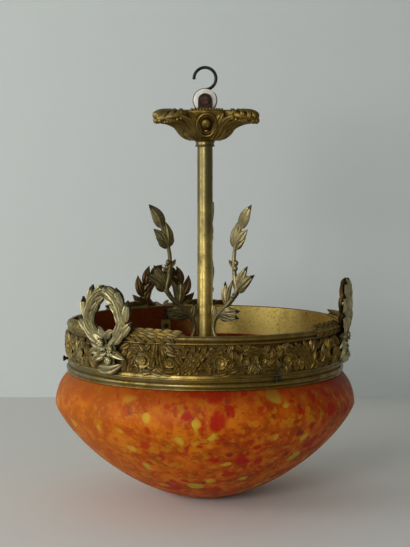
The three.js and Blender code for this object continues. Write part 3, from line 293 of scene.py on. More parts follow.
def mottled_glass(name, ground, red, yellow, depth):
    """Blown glass rolled in crushed coloured glass and cased: chips of red, yellow and maroon lie in a
    clouded orange ground, under a skin that is ground to satin. depth lays painted shade over it, for the
    inside."""
    material, add, place = blank(name)

    def stirred(start, grain, push):
        """Bends whatever is drawn at start, by up to push, in eddies of that grain in mm."""
        eddy = add("TexNoise", {"Vector": place, "Scale": per(grain), "Detail": 2}).outputs["Color"]
        centred = add("VectorMath", {0: eddy, 1: (0.5,) * 3}, {"operation": "SUBTRACT"})
        sway = (2 * push * MM,) * 3
        return add("VectorMath", {0: centred, 1: sway, 2: start}, {"operation": "MULTIPLY_ADD"})

    melted = stirred(place, 26, 8)
    smeared = stirred(melted, 6, 3.2)
    cloud = add("TexNoise", {"Vector": place, "Scale": per(26), "Detail": 5, "Roughness": 0.62})
    tones = [(0.36, [c * 0.6 for c in ground]), (0.5, ground), (0.64, "#C46C10")]
    tone = add("ValToRGB", {"Fac": cloud}, ramp=tones)
    covers = []
    # Soft clouds of melted glass: grain in mm, where they start, strength and colour
    blots = [
        (15, 0.54, 0.6, "#982406"),
        (13, 0.56, 0.6, "#B67F16"),
        (6, 0.57, 0.6, "#8A2005"),
        (5, 0.58, 0.55, "#BE7412"),
    ]
    for i, (grain, start, strength, shade) in enumerate(blots):
        spot = add("VectorMath", {0: smeared, 1: (0.7 + i, 0.4, 0.9)}, {"operation": "ADD"})
        blot = add("TexNoise", {"Vector": spot, "Scale": per(grain), "Detail": 2})
        limits = {"From Min": start, "From Max": start + 0.12, "To Max": strength}
        covers.append((add("MapRange", {"Value": blot, **limits}, SMOOTH), shade))
    # Chips that kept their shape: where, spacing in mm, share present, size, softness, strength, colour
    chips = [
        (smeared, 9, 0.22, 0.40, 0.12, 0.8, "#BE6A10"),
        (smeared, 9, 0.20, 0.40, 0.12, 0.78, "#A52704"),
        (smeared, 15, 0.24, 0.37, 0.1, 0.86, red),
        (melted, 17, 0.24, 0.35, 0.12, 0.82, yellow),
        (smeared, 25, 0.25, 0.36, 0.12, 0.92, red),
        (melted, 27, 0.18, 0.33, 0.07, 0.92, "#A99A2E"),
        (smeared, 13, 0.05, 0.36, 0.14, 0.7, "#5E1420"),
    ]
    for i, (where, grain, share, size, soft, strength, shade) in enumerate(chips):
        spot = add("VectorMath", {0: where, 1: (0.31 * i, 0.17 * i, 0.23 * i)}, {"operation": "ADD"})
        cells = add("TexVoronoi", {"Vector": spot, "Scale": per(grain)})
        limits = {"From Min": size + soft, "From Max": size - soft, "To Max": strength}
        inside = add("MapRange", {"Value": cells.outputs["Distance"], **limits}, SMOOTH)
        draw = add("SeparateColor", {"Color": cells.outputs["Color"]}).outputs["Red"]
        chosen = add("Math", {0: draw, 1: share}, {"operation": "LESS_THAN"})
        covers.append((add("Math", {0: inside, 1: chosen}, {"operation": "MULTIPLY"}), shade))
    # Painted shadow and light: the ground is redder just under the ring, as the ring's shadow, and yellower
    # on the left, the window's side
    axes = add("SeparateXYZ", {"Vector": place}).outputs
    ring_low = bottom("gallery_base")
    limits = {"From Min": (ring_low - 28) * MM, "From Max": (ring_low + 2) * MM, "To Max": 0.8}
    ring_shadow = add("MapRange", {"Value": axes["Z"], **limits}, SMOOTH)
    limits = {"From Min": 0.0, "From Max": -0.17, "To Max": 0.42}
    lit_left = add("MapRange", {"Value": axes["X"], **limits}, SMOOTH)
    # depth lays painted shade over the whole, for the inside
    covers += [(ring_shadow, "#7E1E03"), (lit_left, "#B66C14"), (depth, "#420602")]
    for cover, shade in covers:
        tone = add("Mix", {MIX_FACTOR: cover, MIX_A: tone, MIX_B: rgba(shade)}, COLOUR_MIX)
    skin = add("TexNoise", {"Vector": place, "Scale": per(2.4), "Detail": 3})
    inputs = {
        "Base Color": tone,
        "Roughness": add("MapRange", {"Value": skin, "To Min": 0.42, "To Max": 0.6}),
        "IOR": 1.52,
        "Specular IOR Level": 0.09,
        "Normal": add("Bump", {"Height": cloud, "Strength": 0.2, "Distance": 1.2 * MM}),
    }
    return surfaced(material, add, inputs)


def clear_glass(name):
    """Thin blown bulb glass: clear, glossy and faintly warm with age."""
    material, add, place = blank(name)
    haze = add("TexNoise", {"Vector": place, "Scale": per(12), "Detail": 3})
    inputs = {
        "Base Color": rgba("#F1EFE6"),
        "Roughness": add("MapRange", {"Value": haze, "To Min": 0.03, "To Max": 0.12}),
        "Transmission Weight": 1,
        "IOR": 1.45,
    }
    return surfaced(material, add, inputs)


def nickel_plate(name):
    """Nickel plate on brass: grey-white and satin, yellowing where it is thin."""
    material, add, place = blank(name)
    wear = add("TexNoise", {"Vector": place, "Scale": per(7), "Detail": 5, "Roughness": 0.6})
    shade = add("ValToRGB", {"Fac": wear}, ramp=[(0.45, "#B9B6AD"), (0.7, "#9A8F74")])
    return surfaced(material, add, {"Base Color": shade, "Metallic": 1, "Roughness": 0.3})


def one_sided_paint(name, shade):
    """Matt paint with faint clouds, seen only from its front: other views look through the backdrop."""
    material, add, place = blank(name)
    cloud = add("TexNoise", {"Vector": place, "Scale": 1.3, "Detail": 3})
    dusty = [c * 0.96 for c in shade]
    tone = add("Mix", {MIX_FACTOR: cloud, MIX_A: rgba(shade), MIX_B: rgba(dusty)}, COLOUR_MIX)
    back = add("NewGeometry").outputs["Backfacing"]
    return surfaced(material, add, {"Base Color": tone, "Roughness": 0.85}, back)


def finish(key):
    """The material of one finish, made when it is first asked for."""
    name = "lamp_" + key
    if name in bpy.data.materials:
        return bpy.data.materials[name]
    shades = bpy.context.scene.lamp_colours
    gilding, brass, patina = list(shades.gilding), list(shades.brass), list(shades.patina)
    glass = [list(shade) for shade in (shades.glass_ground, shades.glass_red, shades.glass_yellow)]
    # Bronze: gilding, patina, green, shine, grime. Brass: brass, patina, shine, speckle, painted left
    # shade, greying up the tube
    makers = {
        "gilt_bronze": (cast_bronze, gilding, patina, 0.6, 0.5),
        "dark_gilt_bronze": (cast_bronze, [c * 0.84 for c in gilding], patina, 0.35, 0.46),
        "pale_gilt_bronze": (cast_bronze, linear("#A5976A"), patina, 0.45, 0.44),
        "browned_bronze": (cast_bronze, linear("#776A42"), patina, 0.45, 0.48),
        "wreath_bronze": (cast_bronze, linear("#CBBF90"), patina, 0.6, 0.46, 0.56),
        "moulded_bronze": (cast_bronze, [c * 0.82 for c in gilding], patina, 0.5, 0.36),
        # Painted shade for the cartouches' hollows
        "hollow_bronze": (cast_bronze, linear("#4A2A10"), patina, 0.2, 0.5),
        # Painted shade over the rough back of a casting: the wreaths' back faces and the frieze's wall
        "casting_back": (cast_bronze, linear("#5E4320"), patina, 0.1, 0.48),
        "leaf_tips": (cast_bronze, linear("#2E3020"), patina, 0.3, 0.4),
        "tube_brass": (drawn_brass, brass, linear("#5A4720"), 0.34, 0.55, 0, 0.9),
        # The lining's left is painted in shade, reddened as a painted reflection of the glass
        "ring_inside": (drawn_brass, linear("#DEC26A"), linear("#5A4118"), 0.4, 0.6, 0.93),
        "fitting_brass": (drawn_brass, brass, patina, 0.3, 0.4),
        "dark_steel": (dark_steel,),
        "copper_brown": (brown_copper, 1.7),
        "copper_dark": (brown_copper, 0.7),
        "porcelain": (glazed_porcelain,),
        "bowl_outside": (mottled_glass, *glass, 0),
        # The inside is painted in shade
        "bowl_inside": (mottled_glass, *glass, 0.62),
        "clear_glass": (clear_glass,),
        "nickel": (nickel_plate,),
        "wall": (one_sided_paint, list(shades.wall)),
        "floor": (one_sided_paint, list(shades.table)),
    }
    maker, *values = makers[key]
    return maker(name, *values)


# Shapes: every helper gives points, as an array of millimetres, and faces


def round_angles(count):
    return np.linspace(0, 2 * math.pi, count, endpoint=False)


def loft(rings, closed=False):
    """A skin over rings of as many points each, with caps unless it closes on itself."""
    count, size = len(rings), len(rings[0])
    faces = []
    for i in range(count if closed else count - 1):
        a, b = i * size, ((i + 1) % count) * size
        faces += [[a + j, a + (j + 1) % size, b + (j + 1) % size, b + j] for j in range(size)]
    if not closed:
        faces += [list(range(size)), list(range((count - 1) * size, count * size))]
    return np.concatenate(rings), faces


def turned(outline, steps):
    """A closed outline of [radius, height] turned round the stem's axis."""
    radius, height = np.array(outline, float).T
    rings = []
    for angle in round_angles(steps):
        rings.append(np.column_stack([radius * math.sin(angle), -radius * math.cos(angle), height]))
    return loft(rings, closed=True)


def swept(path, radii, sides=10):
    """A round bar along a path, with one radius or one for each point."""
    path = np.array(path, float)
    radii = np.broadcast_to(radii, len(path))
    tangents = np.gradient(path, axis=0)
    tangents /= np.linalg.norm(tangents, axis=1)[:, None]
    side = np.cross(tangents[0], [0, 0, 1] if abs(tangents[0][2]) < 0.9 else [1, 0, 0])
    angles = round_angles(sides)
    rings = []
    for point, tangent, radius in zip(path, tangents, radii):
        side = side - tangent * np.dot(side, tangent)
        side /= np.linalg.norm(side)
        across = np.cross(tangent, side)
        circle = np.outer(np.cos(angles), side) + np.outer(np.sin(angles), across)
        rings.append(point + radius * circle)
    return loft(rings)


def curve_through(points, steps):
    """Even steps along a smooth curve through the points."""
    points = np.array(points, float)
    before, after = 2 * points[0] - points[1], 2 * points[-1] - points[-2]
    padded = np.vstack([before, points, after])
    fine = []
    for i in range(1, len(padded) - 2):
        p0, p1, p2, p3 = padded[i - 1 : i + 3]
        slope, bend, twist = p2 - p0, 2 * p0 - 5 * p1 + 4 * p2 - p3, 3 * p1 - p0 - 3 * p2 + p3
        for t in np.linspace(0, 1, 12, endpoint=False):
            fine.append(0.5 * (2 * p1 + slope * t + bend * t**2 + twist * t**3))
    fine = np.array(fine + [points[-1]])
    run = np.concatenate([[0], np.cumsum(np.linalg.norm(np.diff(fine, axis=0), axis=1))])
    wanted = np.linspace(0, run[-1], steps)
    return np.column_stack([np.interp(wanted, run, fine[:, k]) for k in range(fine.shape[1])])


# Across a leaf, from edge to edge: the places of its points, and how high its face rises there
LEAF_ACROSS = (-1, -0.68, -0.3, 0, 0.3, 0.68, 1)
LEAF_RISE = (0.06, 0.7, 0.42, 1, 0.42, 0.7, 0.06)


def blade(path, facing, width, thickness, steps=10, cup=0.0, teeth=0):
    """A leaf along a path, with its face towards facing: a raised midrib, two grooves and thin edges.
    cup lifts its sides, and its edge may have teeth that point to the tip."""
    path = curve_through(path, steps)
    tangents = np.gradient(path, axis=0)
    rings = []
    for i, (point, along) in enumerate(zip(path, tangents)):
        u = i / (steps - 1)
        along = along / np.linalg.norm(along)
        across = np.cross(along, facing)
        across /= np.linalg.norm(across)
        up = np.cross(across, along)
        half = width / 2 * (0.16 * (1 - u) + math.sin(math.pi * u**0.72) ** 0.85) + 0.12
        if teeth:
            half *= 0.66 + 0.44 * ((u * teeth) % 1)
        swell = thickness * (0.3 + 0.7 * math.sin(math.pi * min(u + 0.06, 1)) ** 0.6)
        face = [half * v * across + (swell * r + cup * v * v) * up for v, r in zip(LEAF_ACROSS, LEAF_RISE)]
        back = [
            half * v * across + (cup * v * v - 0.3 * swell * (1 - v * v)) * up
            for v in reversed(LEAF_ACROSS[1:-1])
        ]
        rings.append(point + np.array(face + back))
    return loft(rings)


def leaf(size, width, thickness, curl=0.0, cup=0.0, steps=7):
    """A straight leaf growing along Y with its face towards Z; curl bends its tip towards Z."""
    path = [[0, size * u, curl * u * u] for u in np.linspace(0, 1, 5)]
    return blade(path, (0, 0, 1), width, thickness, steps, cup)


def split(shape, is_second, looks=(0, 1)):
    """A shape as two parts by a test of each face, with the finish of each part."""
    points, faces = shape
    first = [face for face in faces if not is_second(face)]
    second = [face for face in faces if is_second(face)]
    return [((points, first), looks[0]), ((points, second), looks[1])]


def dark_tipped(shape, share):
    """A leaf with its end, past that share of its length, in the piece's second finish."""
    ring = 2 * len(LEAF_ACROSS) - 2
    start = int(len(shape[0]) / ring * share) * ring
    return split(shape, lambda face: min(face) >= start)


def moved(shape, matrix):
    """A shape put through a matrix."""
    points, faces = shape
    matrix = np.array(matrix, float)
    return points @ matrix[:3, :3].T + matrix[:3, 3], faces


def aimed(shape, place, along, facing=(0, 0, 1)):
    """A shape set at a place with its Y axis along a direction and its Z axis nearest to facing."""
    y = Vector(along).normalized()
    x = y.cross(Vector(facing)).normalized()
    z = x.cross(y)
    basis = Matrix((x, y, z)).transposed().to_4x4()
    basis.translation = Vector(place)
    return moved(shape, basis)


def ball(radius, place, squash=(1, 1, 1), steps=12):
    """A bead of that radius, squashed along each axis."""
    rings = []
    for up in np.linspace(-math.pi / 2 + 0.06, math.pi / 2 - 0.06, steps // 2 + 1):
        circle = [
            [math.cos(up) * math.cos(a), math.cos(up) * math.sin(a), math.sin(up)]
            for a in round_angles(steps)
        ]
        rings.append(np.array(circle) * radius * np.array(squash) + np.array(place))
    return loft(rings)


def merged(parts):
    """Several shapes as one."""
    points, faces, start = [], [], 0
    for part_points, part_faces in parts:
        points.append(part_points)
        faces += [[i + start for i in face] for face in part_faces]
        start += len(part_points)
    return np.concatenate(points), faces


def rose(radius, height, petals=5, twist=0.0):
    """A rose seen from above, in the plane of X and Y: two whorls of cupped petals round a bud."""
    parts = []
    # Each whorl: how far it reaches, how high it starts and how steeply it stands
    for whorl, (far, lift, tilt) in enumerate([(1.0, 0.06, 0.22), (0.66, 0.34, 0.5)]):
        for i in range(petals):
            angle = twist + (i + 0.5 * whorl) * 2 * math.pi / petals
            out = Vector((math.cos(angle), math.sin(angle), tilt))
            size = radius * far
            petal = leaf(size, size * 1.25, height * 0.14, height * 0.12, height * 0.12)
            parts.append(aimed(petal, (0, 0, height * lift), out))
    parts.append(ball(radius * 0.22, (0, 0, height * 0.5), (1, 1, 0.8)))
    return merged(parts)


def round_ring(shape, azimuth, radius, curved=True):
    """Stands a flat relief of [across, up, outwards] on the ring: wrapped round it, or on its tangent."""
    points, faces = shape
    across, up, out = points.T
    start = math.radians(azimuth)
    angle = start + across / radius if curved else np.full(len(across), start)
    slide = np.zeros(len(across)) if curved else across
    x = (radius + out) * np.sin(angle) + slide * np.cos(angle)
    y = -(radius + out) * np.cos(angle) + slide * np.sin(angle)
    return np.column_stack([x, y, up]), faces


def piece(name, parts, finishes, body, nodes, sharp=38):
    """Makes one object of the parts, in place of the CAD nodes. A part is a shape, or a shape and which of
    the finishes it has. An edge is drawn sharp from that many degrees between its faces."""
    parts = [part if isinstance(part[1], int) else (part, 0) for part in parts]
    points, faces = merged([shape for shape, look in parts])
    mesh = bpy.data.meshes.new(name)
    mesh.from_pydata((points * MM).tolist(), [], faces)
    for key in finishes:
        mesh.materials.append(finish(key))
    looks = [look for shape, look in parts for face in shape[1]]
    mesh.polygons.foreach_set("material_index", looks)
    work = bmesh.new()
    work.from_mesh(mesh)
    bmesh.ops.remove_doubles(work, verts=work.verts, dist=1e-7)
    bmesh.ops.recalc_face_normals(work, faces=work.faces)
    work.to_mesh(mesh)
    work.free()
    mesh.polygons.foreach_set("use_smooth", [True] * len(mesh.polygons))
    mesh.set_sharp_from_angle(angle=math.radians(sharp))
    thing = bpy.data.objects.new(name, mesh)
    bpy.context.scene.collection.objects.link(thing)
    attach(thing, body)
    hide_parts(*nodes)


def dress(node, key, edge=0.25):
    """A CAD node keeps its solid, and gets a finish and edges softened by that many millimetres."""
    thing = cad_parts[node]
    thing.data.materials.clear()
    thing.data.materials.append(finish(key))
    soft = thing.modifiers.new("edges", "BEVEL")
    soft.width = edge * MM
    soft.segments = 2
    soft.limit_method = "ANGLE"
    soft.angle_limit = math.radians(40)


def arc(r, z, radius, start, end, steps):
    """Points of [radius, height] along an arc round r and z, from one angle in degrees to another."""
    angles = np.radians(np.linspace(start, end, steps + 1))
    return [[r + radius * math.cos(a), z + radius * math.sin(a)] for a in angles]


def at_azimuth(azimuth, r, z):
    """The point at a radius and a height, in a direction round the stem."""
    a = math.radians(azimuth)
    return [r * math.sin(a), -r * math.cos(a), z]


def azimuths(node_prefix):
    """Where the three nodes of one kind stand round the stem."""
    found = []
    for i in THIRDS:
        low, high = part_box(f"{node_prefix}_{i}")
        middle = (low + high) / 2
        found.append(math.degrees(math.atan2(middle.x, -middle.y)))
    return found


# The operators, one for each piece or group of like pieces


class LAMP_OT_stage(bpy.types.Operator):
    """Adds the camera, the lights, the floor and the backdrop"""

    bl_idname = "lamp.stage"
    bl_label = "Stage"

    def execute(self, context):
        scene = context.scene
        scene.view_settings.view_transform = "Standard"
        camera = bpy.data.objects.new("camera", bpy.data.cameras.new("camera"))
        scene.collection.objects.link(camera)
        camera.location = CAMERA_PLACE
        camera.rotation_euler = (math.radians(90 - CAMERA_DOWN), 0, 0)
        camera.data.lens = CAMERA_LENS
        scene.camera = camera

        # In metres: the floor lies just under the bowl and ends at the wall, and both reach far sideways
        floor_z = bottom("glass_bowl") * MM - 0.0002
        half, near_y, wall_y, wall_top = 4.0, -3.2, 0.66, 2.6
        for name, key, (y0, z0), (y1, z1) in [
            ("floor", "floor", (near_y, 0), (wall_y, 0)),
            ("backdrop", "wall", (wall_y, 0), (wall_y, wall_top)),
        ]:
            corners = [(-half, y0, z0), (half, y0, z0), (half, y1, z1), (-half, y1, z1)]
            mesh = bpy.data.meshes.new(name)
            mesh.from_pydata([(x, y, z + floor_z) for x, y, z in corners], [], [(0, 1, 2, 3)])
            mesh.materials.append(finish(key))
            plane = bpy.data.objects.new(name, mesh)
            scene.collection.objects.link(plane)

        # Two soft windows on the left, which look at the middle of the lamp
        for name, place, size, power, shade in [
            ("window", (-2.2, -1.0, 0.2), (1.2, 1.4), 24, "#F6F8FC"),
            ("second_window", (-0.7, -1.85, 0.12), (0.5, 0.5), 16, "#F8F8FA"),
        ]:
            lamp = bpy.data.lights.new(name, "AREA")
            lamp.shape = "RECTANGLE"
            lamp.size, lamp.size_y = size
            lamp.energy = power
            lamp.color = linear(shade)
            light = bpy.data.objects.new(name, lamp)
            light.location = place
            aim = Vector((0, 0, -0.3)) - Vector(place)
            light.rotation_euler = aim.to_track_quat("-Z", "Y").to_euler()
            scene.collection.objects.link(light)

        world = bpy.data.worlds.new("room")
        scene.world = world
        world.use_nodes = True
        world.node_tree.nodes.clear()
        add = functools.partial(add_node, world.node_tree)
        # The room is lighter on the window's side, which the metal shows
        across = add("SeparateXYZ", {"Vector": add("TexCoord").outputs["Generated"]}).outputs["X"]
        limits = {"From Min": -0.8, "From Max": 0.8, "To Min": 0.39, "To Max": 0.2}
        glow = add("MapRange", {"Value": across, **limits})
        add("OutputWorld", {"Surface": add("Background", {"Color": rgba("#E9EEF2"), "Strength": glow})})
        return {"FINISHED"}


class LAMP_OT_hook(bpy.types.Operator):
    """Makes the wire hook and the porcelain reel in its loop, and dresses the bolt, its stirrup and its nut
    """

    bl_idname = "lamp.hook"
    bl_label = "Hook and reel"

    def execute(self, context):
        wire = context.scene.lamp_sizes.wire / MM / 2
        # The bow stands on the loop: their middle radii, and how many degrees the wire goes round each
        bow, loop = 12.7, 12.5
        bow_turn, loop_turn = 275, 310
        bow_z = -(bow - wire)
        pin_z = bow_z - bow - loop
        path = []
        for angle in np.radians(np.linspace(bow_turn, 0, 70)):
            path.append([bow * math.sin(angle), 0, bow_z - bow * math.cos(angle)])
        for angle in np.radians(np.linspace(0, loop_turn, 80))[1:]:
            path.append([-loop * math.sin(angle), 0, pin_z + loop * math.cos(angle)])
        # The cut ends are filed a little thinner
        radii = np.full(len(path), wire)
        radii[0] = radii[-1] = wire * 0.85
        hook = swept(path, radii, 14)
        piece("hook_wire", [hook], ["dark_steel"], "hook", ["suspension_hook"])

        # Half the reel's outline: the bore, a rounded cheek, and the groove that the wire lies in
        half, rim, cheek, mouth, bore = 6.0, 13.4, 1.4, 2.9, 3.4
        groove = loop - wire - 0.3
        side = [
            [bore, -half + 0.5],
            [bore + 0.5, -half],
            *arc(rim - cheek, -half + cheek, cheek, -90, 0, 5),
            [rim - 0.1, -mouth - 0.3],
            *arc(rim - cheek, 0, mouth, -62, -86, 2),
            [groove, -1.4],
        ]
        outline = side + [[r, -z] for r, z in reversed(side)]
        turn = Matrix.Rotation(math.radians(90), 4, "X")
        turn.translation = Vector((0, 0, pin_z))
        reel = moved(turned(outline, 56), turn)
        piece("reel_body", [reel], ["porcelain"], "hook", ["porcelain_reel"])
        dress("reel_bolt", "copper_brown", 0.3)
        for node in ("reel_stirrup", "reel_bolt_nut"):
            dress(node, "copper_dark", 0.3)
        return {"FINISHED"}


class LAMP_OT_cup(bpy.types.Operator):
    """Makes the ceiling cup with its three lobes, its cartouches and beads, and its collar"""

    bl_idname = "lamp.cup"
    bl_label = "Ceiling cup"

    def execute(self, context):
        low = bottom("ceiling_cup")
        # Height, radii of the foot and the rim, wall and bore, and how far a lobe reaches past the rim
        tall, foot, rim, wall, bore = 35.0, 20.0, 43.0, 1.8, 9.4
        reach_out = 25.0
        flare = rim - foot
        flutes, flute_depth, steps = 18, 1.7, 216
        # Radius and height between the lobes, and how far a lobe moves them
        rows = [
            (bore, 0, 0, 0),
            (foot - 5, 0, 0, 0),
            (foot, 0.06 * tall, 0, 0),
            (foot + flare * 0.3, 0.2 * tall, 0, 0),
            (foot + flare * 0.52, 0.42 * tall, reach_out * 0.03, 0),
            (foot + flare * 0.78, 0.64 * tall, reach_out * 0.32, -0.06 * tall),
            (foot + flare * 0.92, 0.8 * tall, reach_out * 0.74, -0.2 * tall),
            (rim, 0.92 * tall, reach_out * 0.97, -0.26 * tall),
            (rim - 1, 0.98 * tall, reach_out * 0.86, -0.1 * tall),
            (rim - 3, 0.98 * tall, reach_out * 0.38, 0.02 * tall),
            (foot + flare * 0.88 - wall, 0.84 * tall, reach_out * 0.1, 0),
            (foot + flare * 0.6 - wall, 0.56 * tall, 0, 0),
            (foot - wall, 0.14 * tall, 0, 0),
            (bore, wall, 0, 0),
        ]
        dense = np.vstack([rows[0], curve_through(rows[1:-1], 80), rows[-1]])

        def lobed(turn):
            """How much of a lobe there is at a turn in radians from the first: 1 in the middle of each."""
            return max(0.0, math.cos(3 * turn)) ** 0.8

        rings = []
        for k in range(steps):
            turn = 2 * math.pi * k / steps
            lobe = lobed(turn)
            flute = 0.5 - 0.5 * math.cos(flutes * turn)
            azimuth = CUP_LOBES[0] + math.degrees(turn)
            ring = []
            for i, (r, z, out, up) in enumerate(dense):
                # The flutes lie on the outer side, and fade towards the foot and the rim
                side = math.sin(math.pi * min(max((i / len(dense) - 0.08) / 0.46, 0), 1))
                sunk = flute_depth * side * flute
                ring.append(at_azimuth(azimuth, r + out * lobe - sunk, low + z + up * lobe))
            rings.append(np.array(ring))
        parts = [loft(rings, closed=True)]

        def on_cup(azimuth, share, proud=0.0):
            """A point over the cup's skin, a share of the way along its outline, and the way out there."""
            lobe = lobed(math.radians(azimuth - CUP_LOBES[0]))
            k = int(share * (len(dense) - 1))
            (r0, z0), (r1, z1) = ((r + out * lobe, z + up * lobe) for r, z, out, up in dense[k : k + 2])
            out = np.array([z1 - z0, r0 - r1])
            out /= np.linalg.norm(out)
            point = at_azimuth(azimuth, r0 + out[0] * proud, low + z0 + out[1] * proud)
            return np.array(point), np.array(at_azimuth(azimuth, *out))

        def leaf_on_cup(places, width, thickness, proud=0.0, teeth=0, facing=None):
            """A leaf along places on the cup, each an azimuth and a share of the outline."""
            path = [on_cup(a, share, proud)[0] for a, share in places]
            if facing is None:
                facing = on_cup(*places[len(places) // 2])[1]
            parts.append(blade(path, facing, width, thickness, 16, -0.5, teeth))

        # A cartouche stands between two lobes: an oval frame round a hollow with a boss, the hollow painted
        # in shade
        lean = Matrix.Rotation(math.radians(36), 4, "X")
        cartouche_radius, cartouche_height = 34.4, 17.8
        for azimuth in (a - 60 for a in CUP_LOBES):
            ornament = [ball(1, (0, 0, -0.3), (11.4, 15.8, 1.1), 28)]
            # The frame and the line inside it: half width, half height, thickness, height over the hollow
            for across, up, thick, lift in [(10.9, 15.4, 1.6, 0.8), (7.7, 12.0, 0.6, 0.3)]:
                frame_line = []
                for angle in round_angles(44):
                    middle = np.array([across * math.cos(angle), up * math.sin(angle), lift])
                    outward = middle * [1, 1, 0] / np.linalg.norm(middle[:2])
                    circle = [
                        middle + thick * (math.cos(a) * outward + math.sin(a) * np.array([0, 0, 1]))
                        for a in round_angles(8)
                    ]
                    frame_line.append(np.array(circle))
                ornament.append(loft(frame_line, closed=True))
            ornament.append(ball(5.2, (-0.8, 1.8, 0.6), (1, 1.16, 0.62), 20))
            ornament.append(ball(1.4, (1.4, 1.2, 4.0), (1, 1, 0.8)))
            ornament.append(ball(2.2, (0.4, -8.4, 0.4), (1.3, 0.8, 0.7)))
            for k, part in enumerate(ornament):
                points, faces = moved(part, lean)
                lifted = (points + np.array([0, low + cartouche_height, 0]), faces)
                look = 1 if k == 0 else 0
                parts.append((round_ring(lifted, azimuth, cartouche_radius, curved=False), look))
            # Gadroons fill the side between the cartouche and the lobes
            for side in SIDES:
                for offset, width in [(22.5, 11), (33, 12.5), (45, 12.5)]:
                    shares = np.linspace(0.47, 0.03, 8)
                    turns = np.linspace(2.5, -5, 8)
                    places = [(azimuth + side * (offset + t), share) for t, share in zip(turns, shares)]
                    leaf_on_cup(places, width, 3.2)
            # Beads along the rim over the cartouche
            for place in np.linspace(-24, 24, 11):
                size = 2.0 - 0.02 * abs(place)
                parts.append(ball(size, on_cup(azimuth + place, 0.56, 0.6)[0]))

        # Each lobe ends in curled knobs. Leaves fall over its edge and line it below, over small beads
        rng = random.Random(SEED)
        for azimuth in CUP_LOBES:
            for spread, share, size in [(0, 0.48, 3.9), (-4, 0.46, 2.9), (4, 0.46, 2.9), (0, 0.56, 3.1)]:
                parts.append(ball(size, on_cup(azimuth + spread, share, -0.6)[0]))
            over = np.array(at_azimuth(azimuth, 0.7, 0.7))
            for offset in (4, 10.5, 17, 24):
                for side in SIDES:
                    a = azimuth + side * offset
                    falls = [(-2, 0.64), (-1, 0.58), (0, 0.52), (1.2, 0.455)]
                    places = [(a + side * aside, share) for aside, share in falls]
                    leaf_on_cup(places, 8.6 - 0.1 * offset, 2.3, 0.2, facing=over)
            for side in SIDES:
                for offset in np.linspace(7, 27, 7):
                    size = rng.uniform(2.0, 2.5)
                    parts.append(ball(size, on_cup(azimuth + side * offset, 0.42, 0.5)[0]))
            for offset in (-11, 0, 11):
                closing = [(1.2, 0.16), (1, 0.25), (0.8, 0.34), (0.5, 0.45)]
                places = [(azimuth + offset * spread, share) for spread, share in closing]
                leaf_on_cup(places, 8, 2.4, teeth=3)
        finishes = ["dark_gilt_bronze", "hollow_bronze"]
        piece("cup_casting", parts, finishes, "cup", ["ceiling_cup"], sharp=50)

        # The collar: a bead at each end of a short neck
        collar_low, collar_top, radius = bottom("cup_collar"), top("cup_collar"), 11.6
        collar = [
            [bore, collar_low],
            [radius - 0.8, collar_low],
            *arc(radius - 0.9, collar_low + 1.0, 0.9, -80, 80, 4),
            [radius - 1.0, collar_low + 2.4],
            [radius - 0.8, collar_top - 1.6],
            *arc(radius - 0.6, collar_top - 0.8, 0.7, -80, 80, 4),
            [bore, collar_top],
        ]
        piece("collar_ring", [turned(collar, 48)], ["tube_brass"], "cup", ["cup_collar"])
        dress("cup_set_screw", "dark_steel", 0.15)
        return {"FINISHED"}


class LAMP_OT_stem(bpy.types.Operator):
    """Makes the brass tube, and dresses its bush, nipples and nuts"""

    bl_idname = "lamp.stem"
    bl_label = "Tube"

    def execute(self, context):
        radius, wall = context.scene.lamp_sizes.tube / MM, 1.5
        low, high = bottom("stem_tube"), top("stem_tube")
        rng = random.Random(SEED)
        # A hand-straightened tube is never quite true: its wall wanders by a tenth of a millimetre
        outside = [[radius + rng.uniform(-0.09, 0.09), z] for z in np.linspace(low, high, 90)]
        inside = [[radius - wall, z] for z in (high, (high + low) / 2, low)]
        tube = turned(outside + inside, 56)
        piece("tube_wall", [tube], ["tube_brass"], "lamp", ["stem_tube"])
        for node in ("upper_nipple", "upper_lock_nut", "tube_bush", "lower_nipple", "lower_lock_nut"):
            dress(node, "fitting_brass", 0.2)
        return {"FINISHED"}


class LAMP_OT_spider(bpy.types.Operator):
    """Dresses the hub, the three arms, the clamp plate and the screws that hold the castings"""

    bl_idname = "lamp.spider"
    bl_label = "Spider"

    def execute(self, context):
        dress("hub", "gilt_bronze", 0.5)
        dress("arm_clamp_plate", "gilt_bronze", 0.3)
        for i in THIRDS:
            dress(f"spider_arm_{i}", "gilt_bronze", 0.5)
            for kind in ("wreath_screw_upper", "wreath_screw_lower", "sprig_screw"):
                dress(f"{kind}_{i}", "dark_steel", 0.2)
            dress(f"thumb_screw_boss_{i}", "fitting_brass", 0.2)
        return {"FINISHED"}


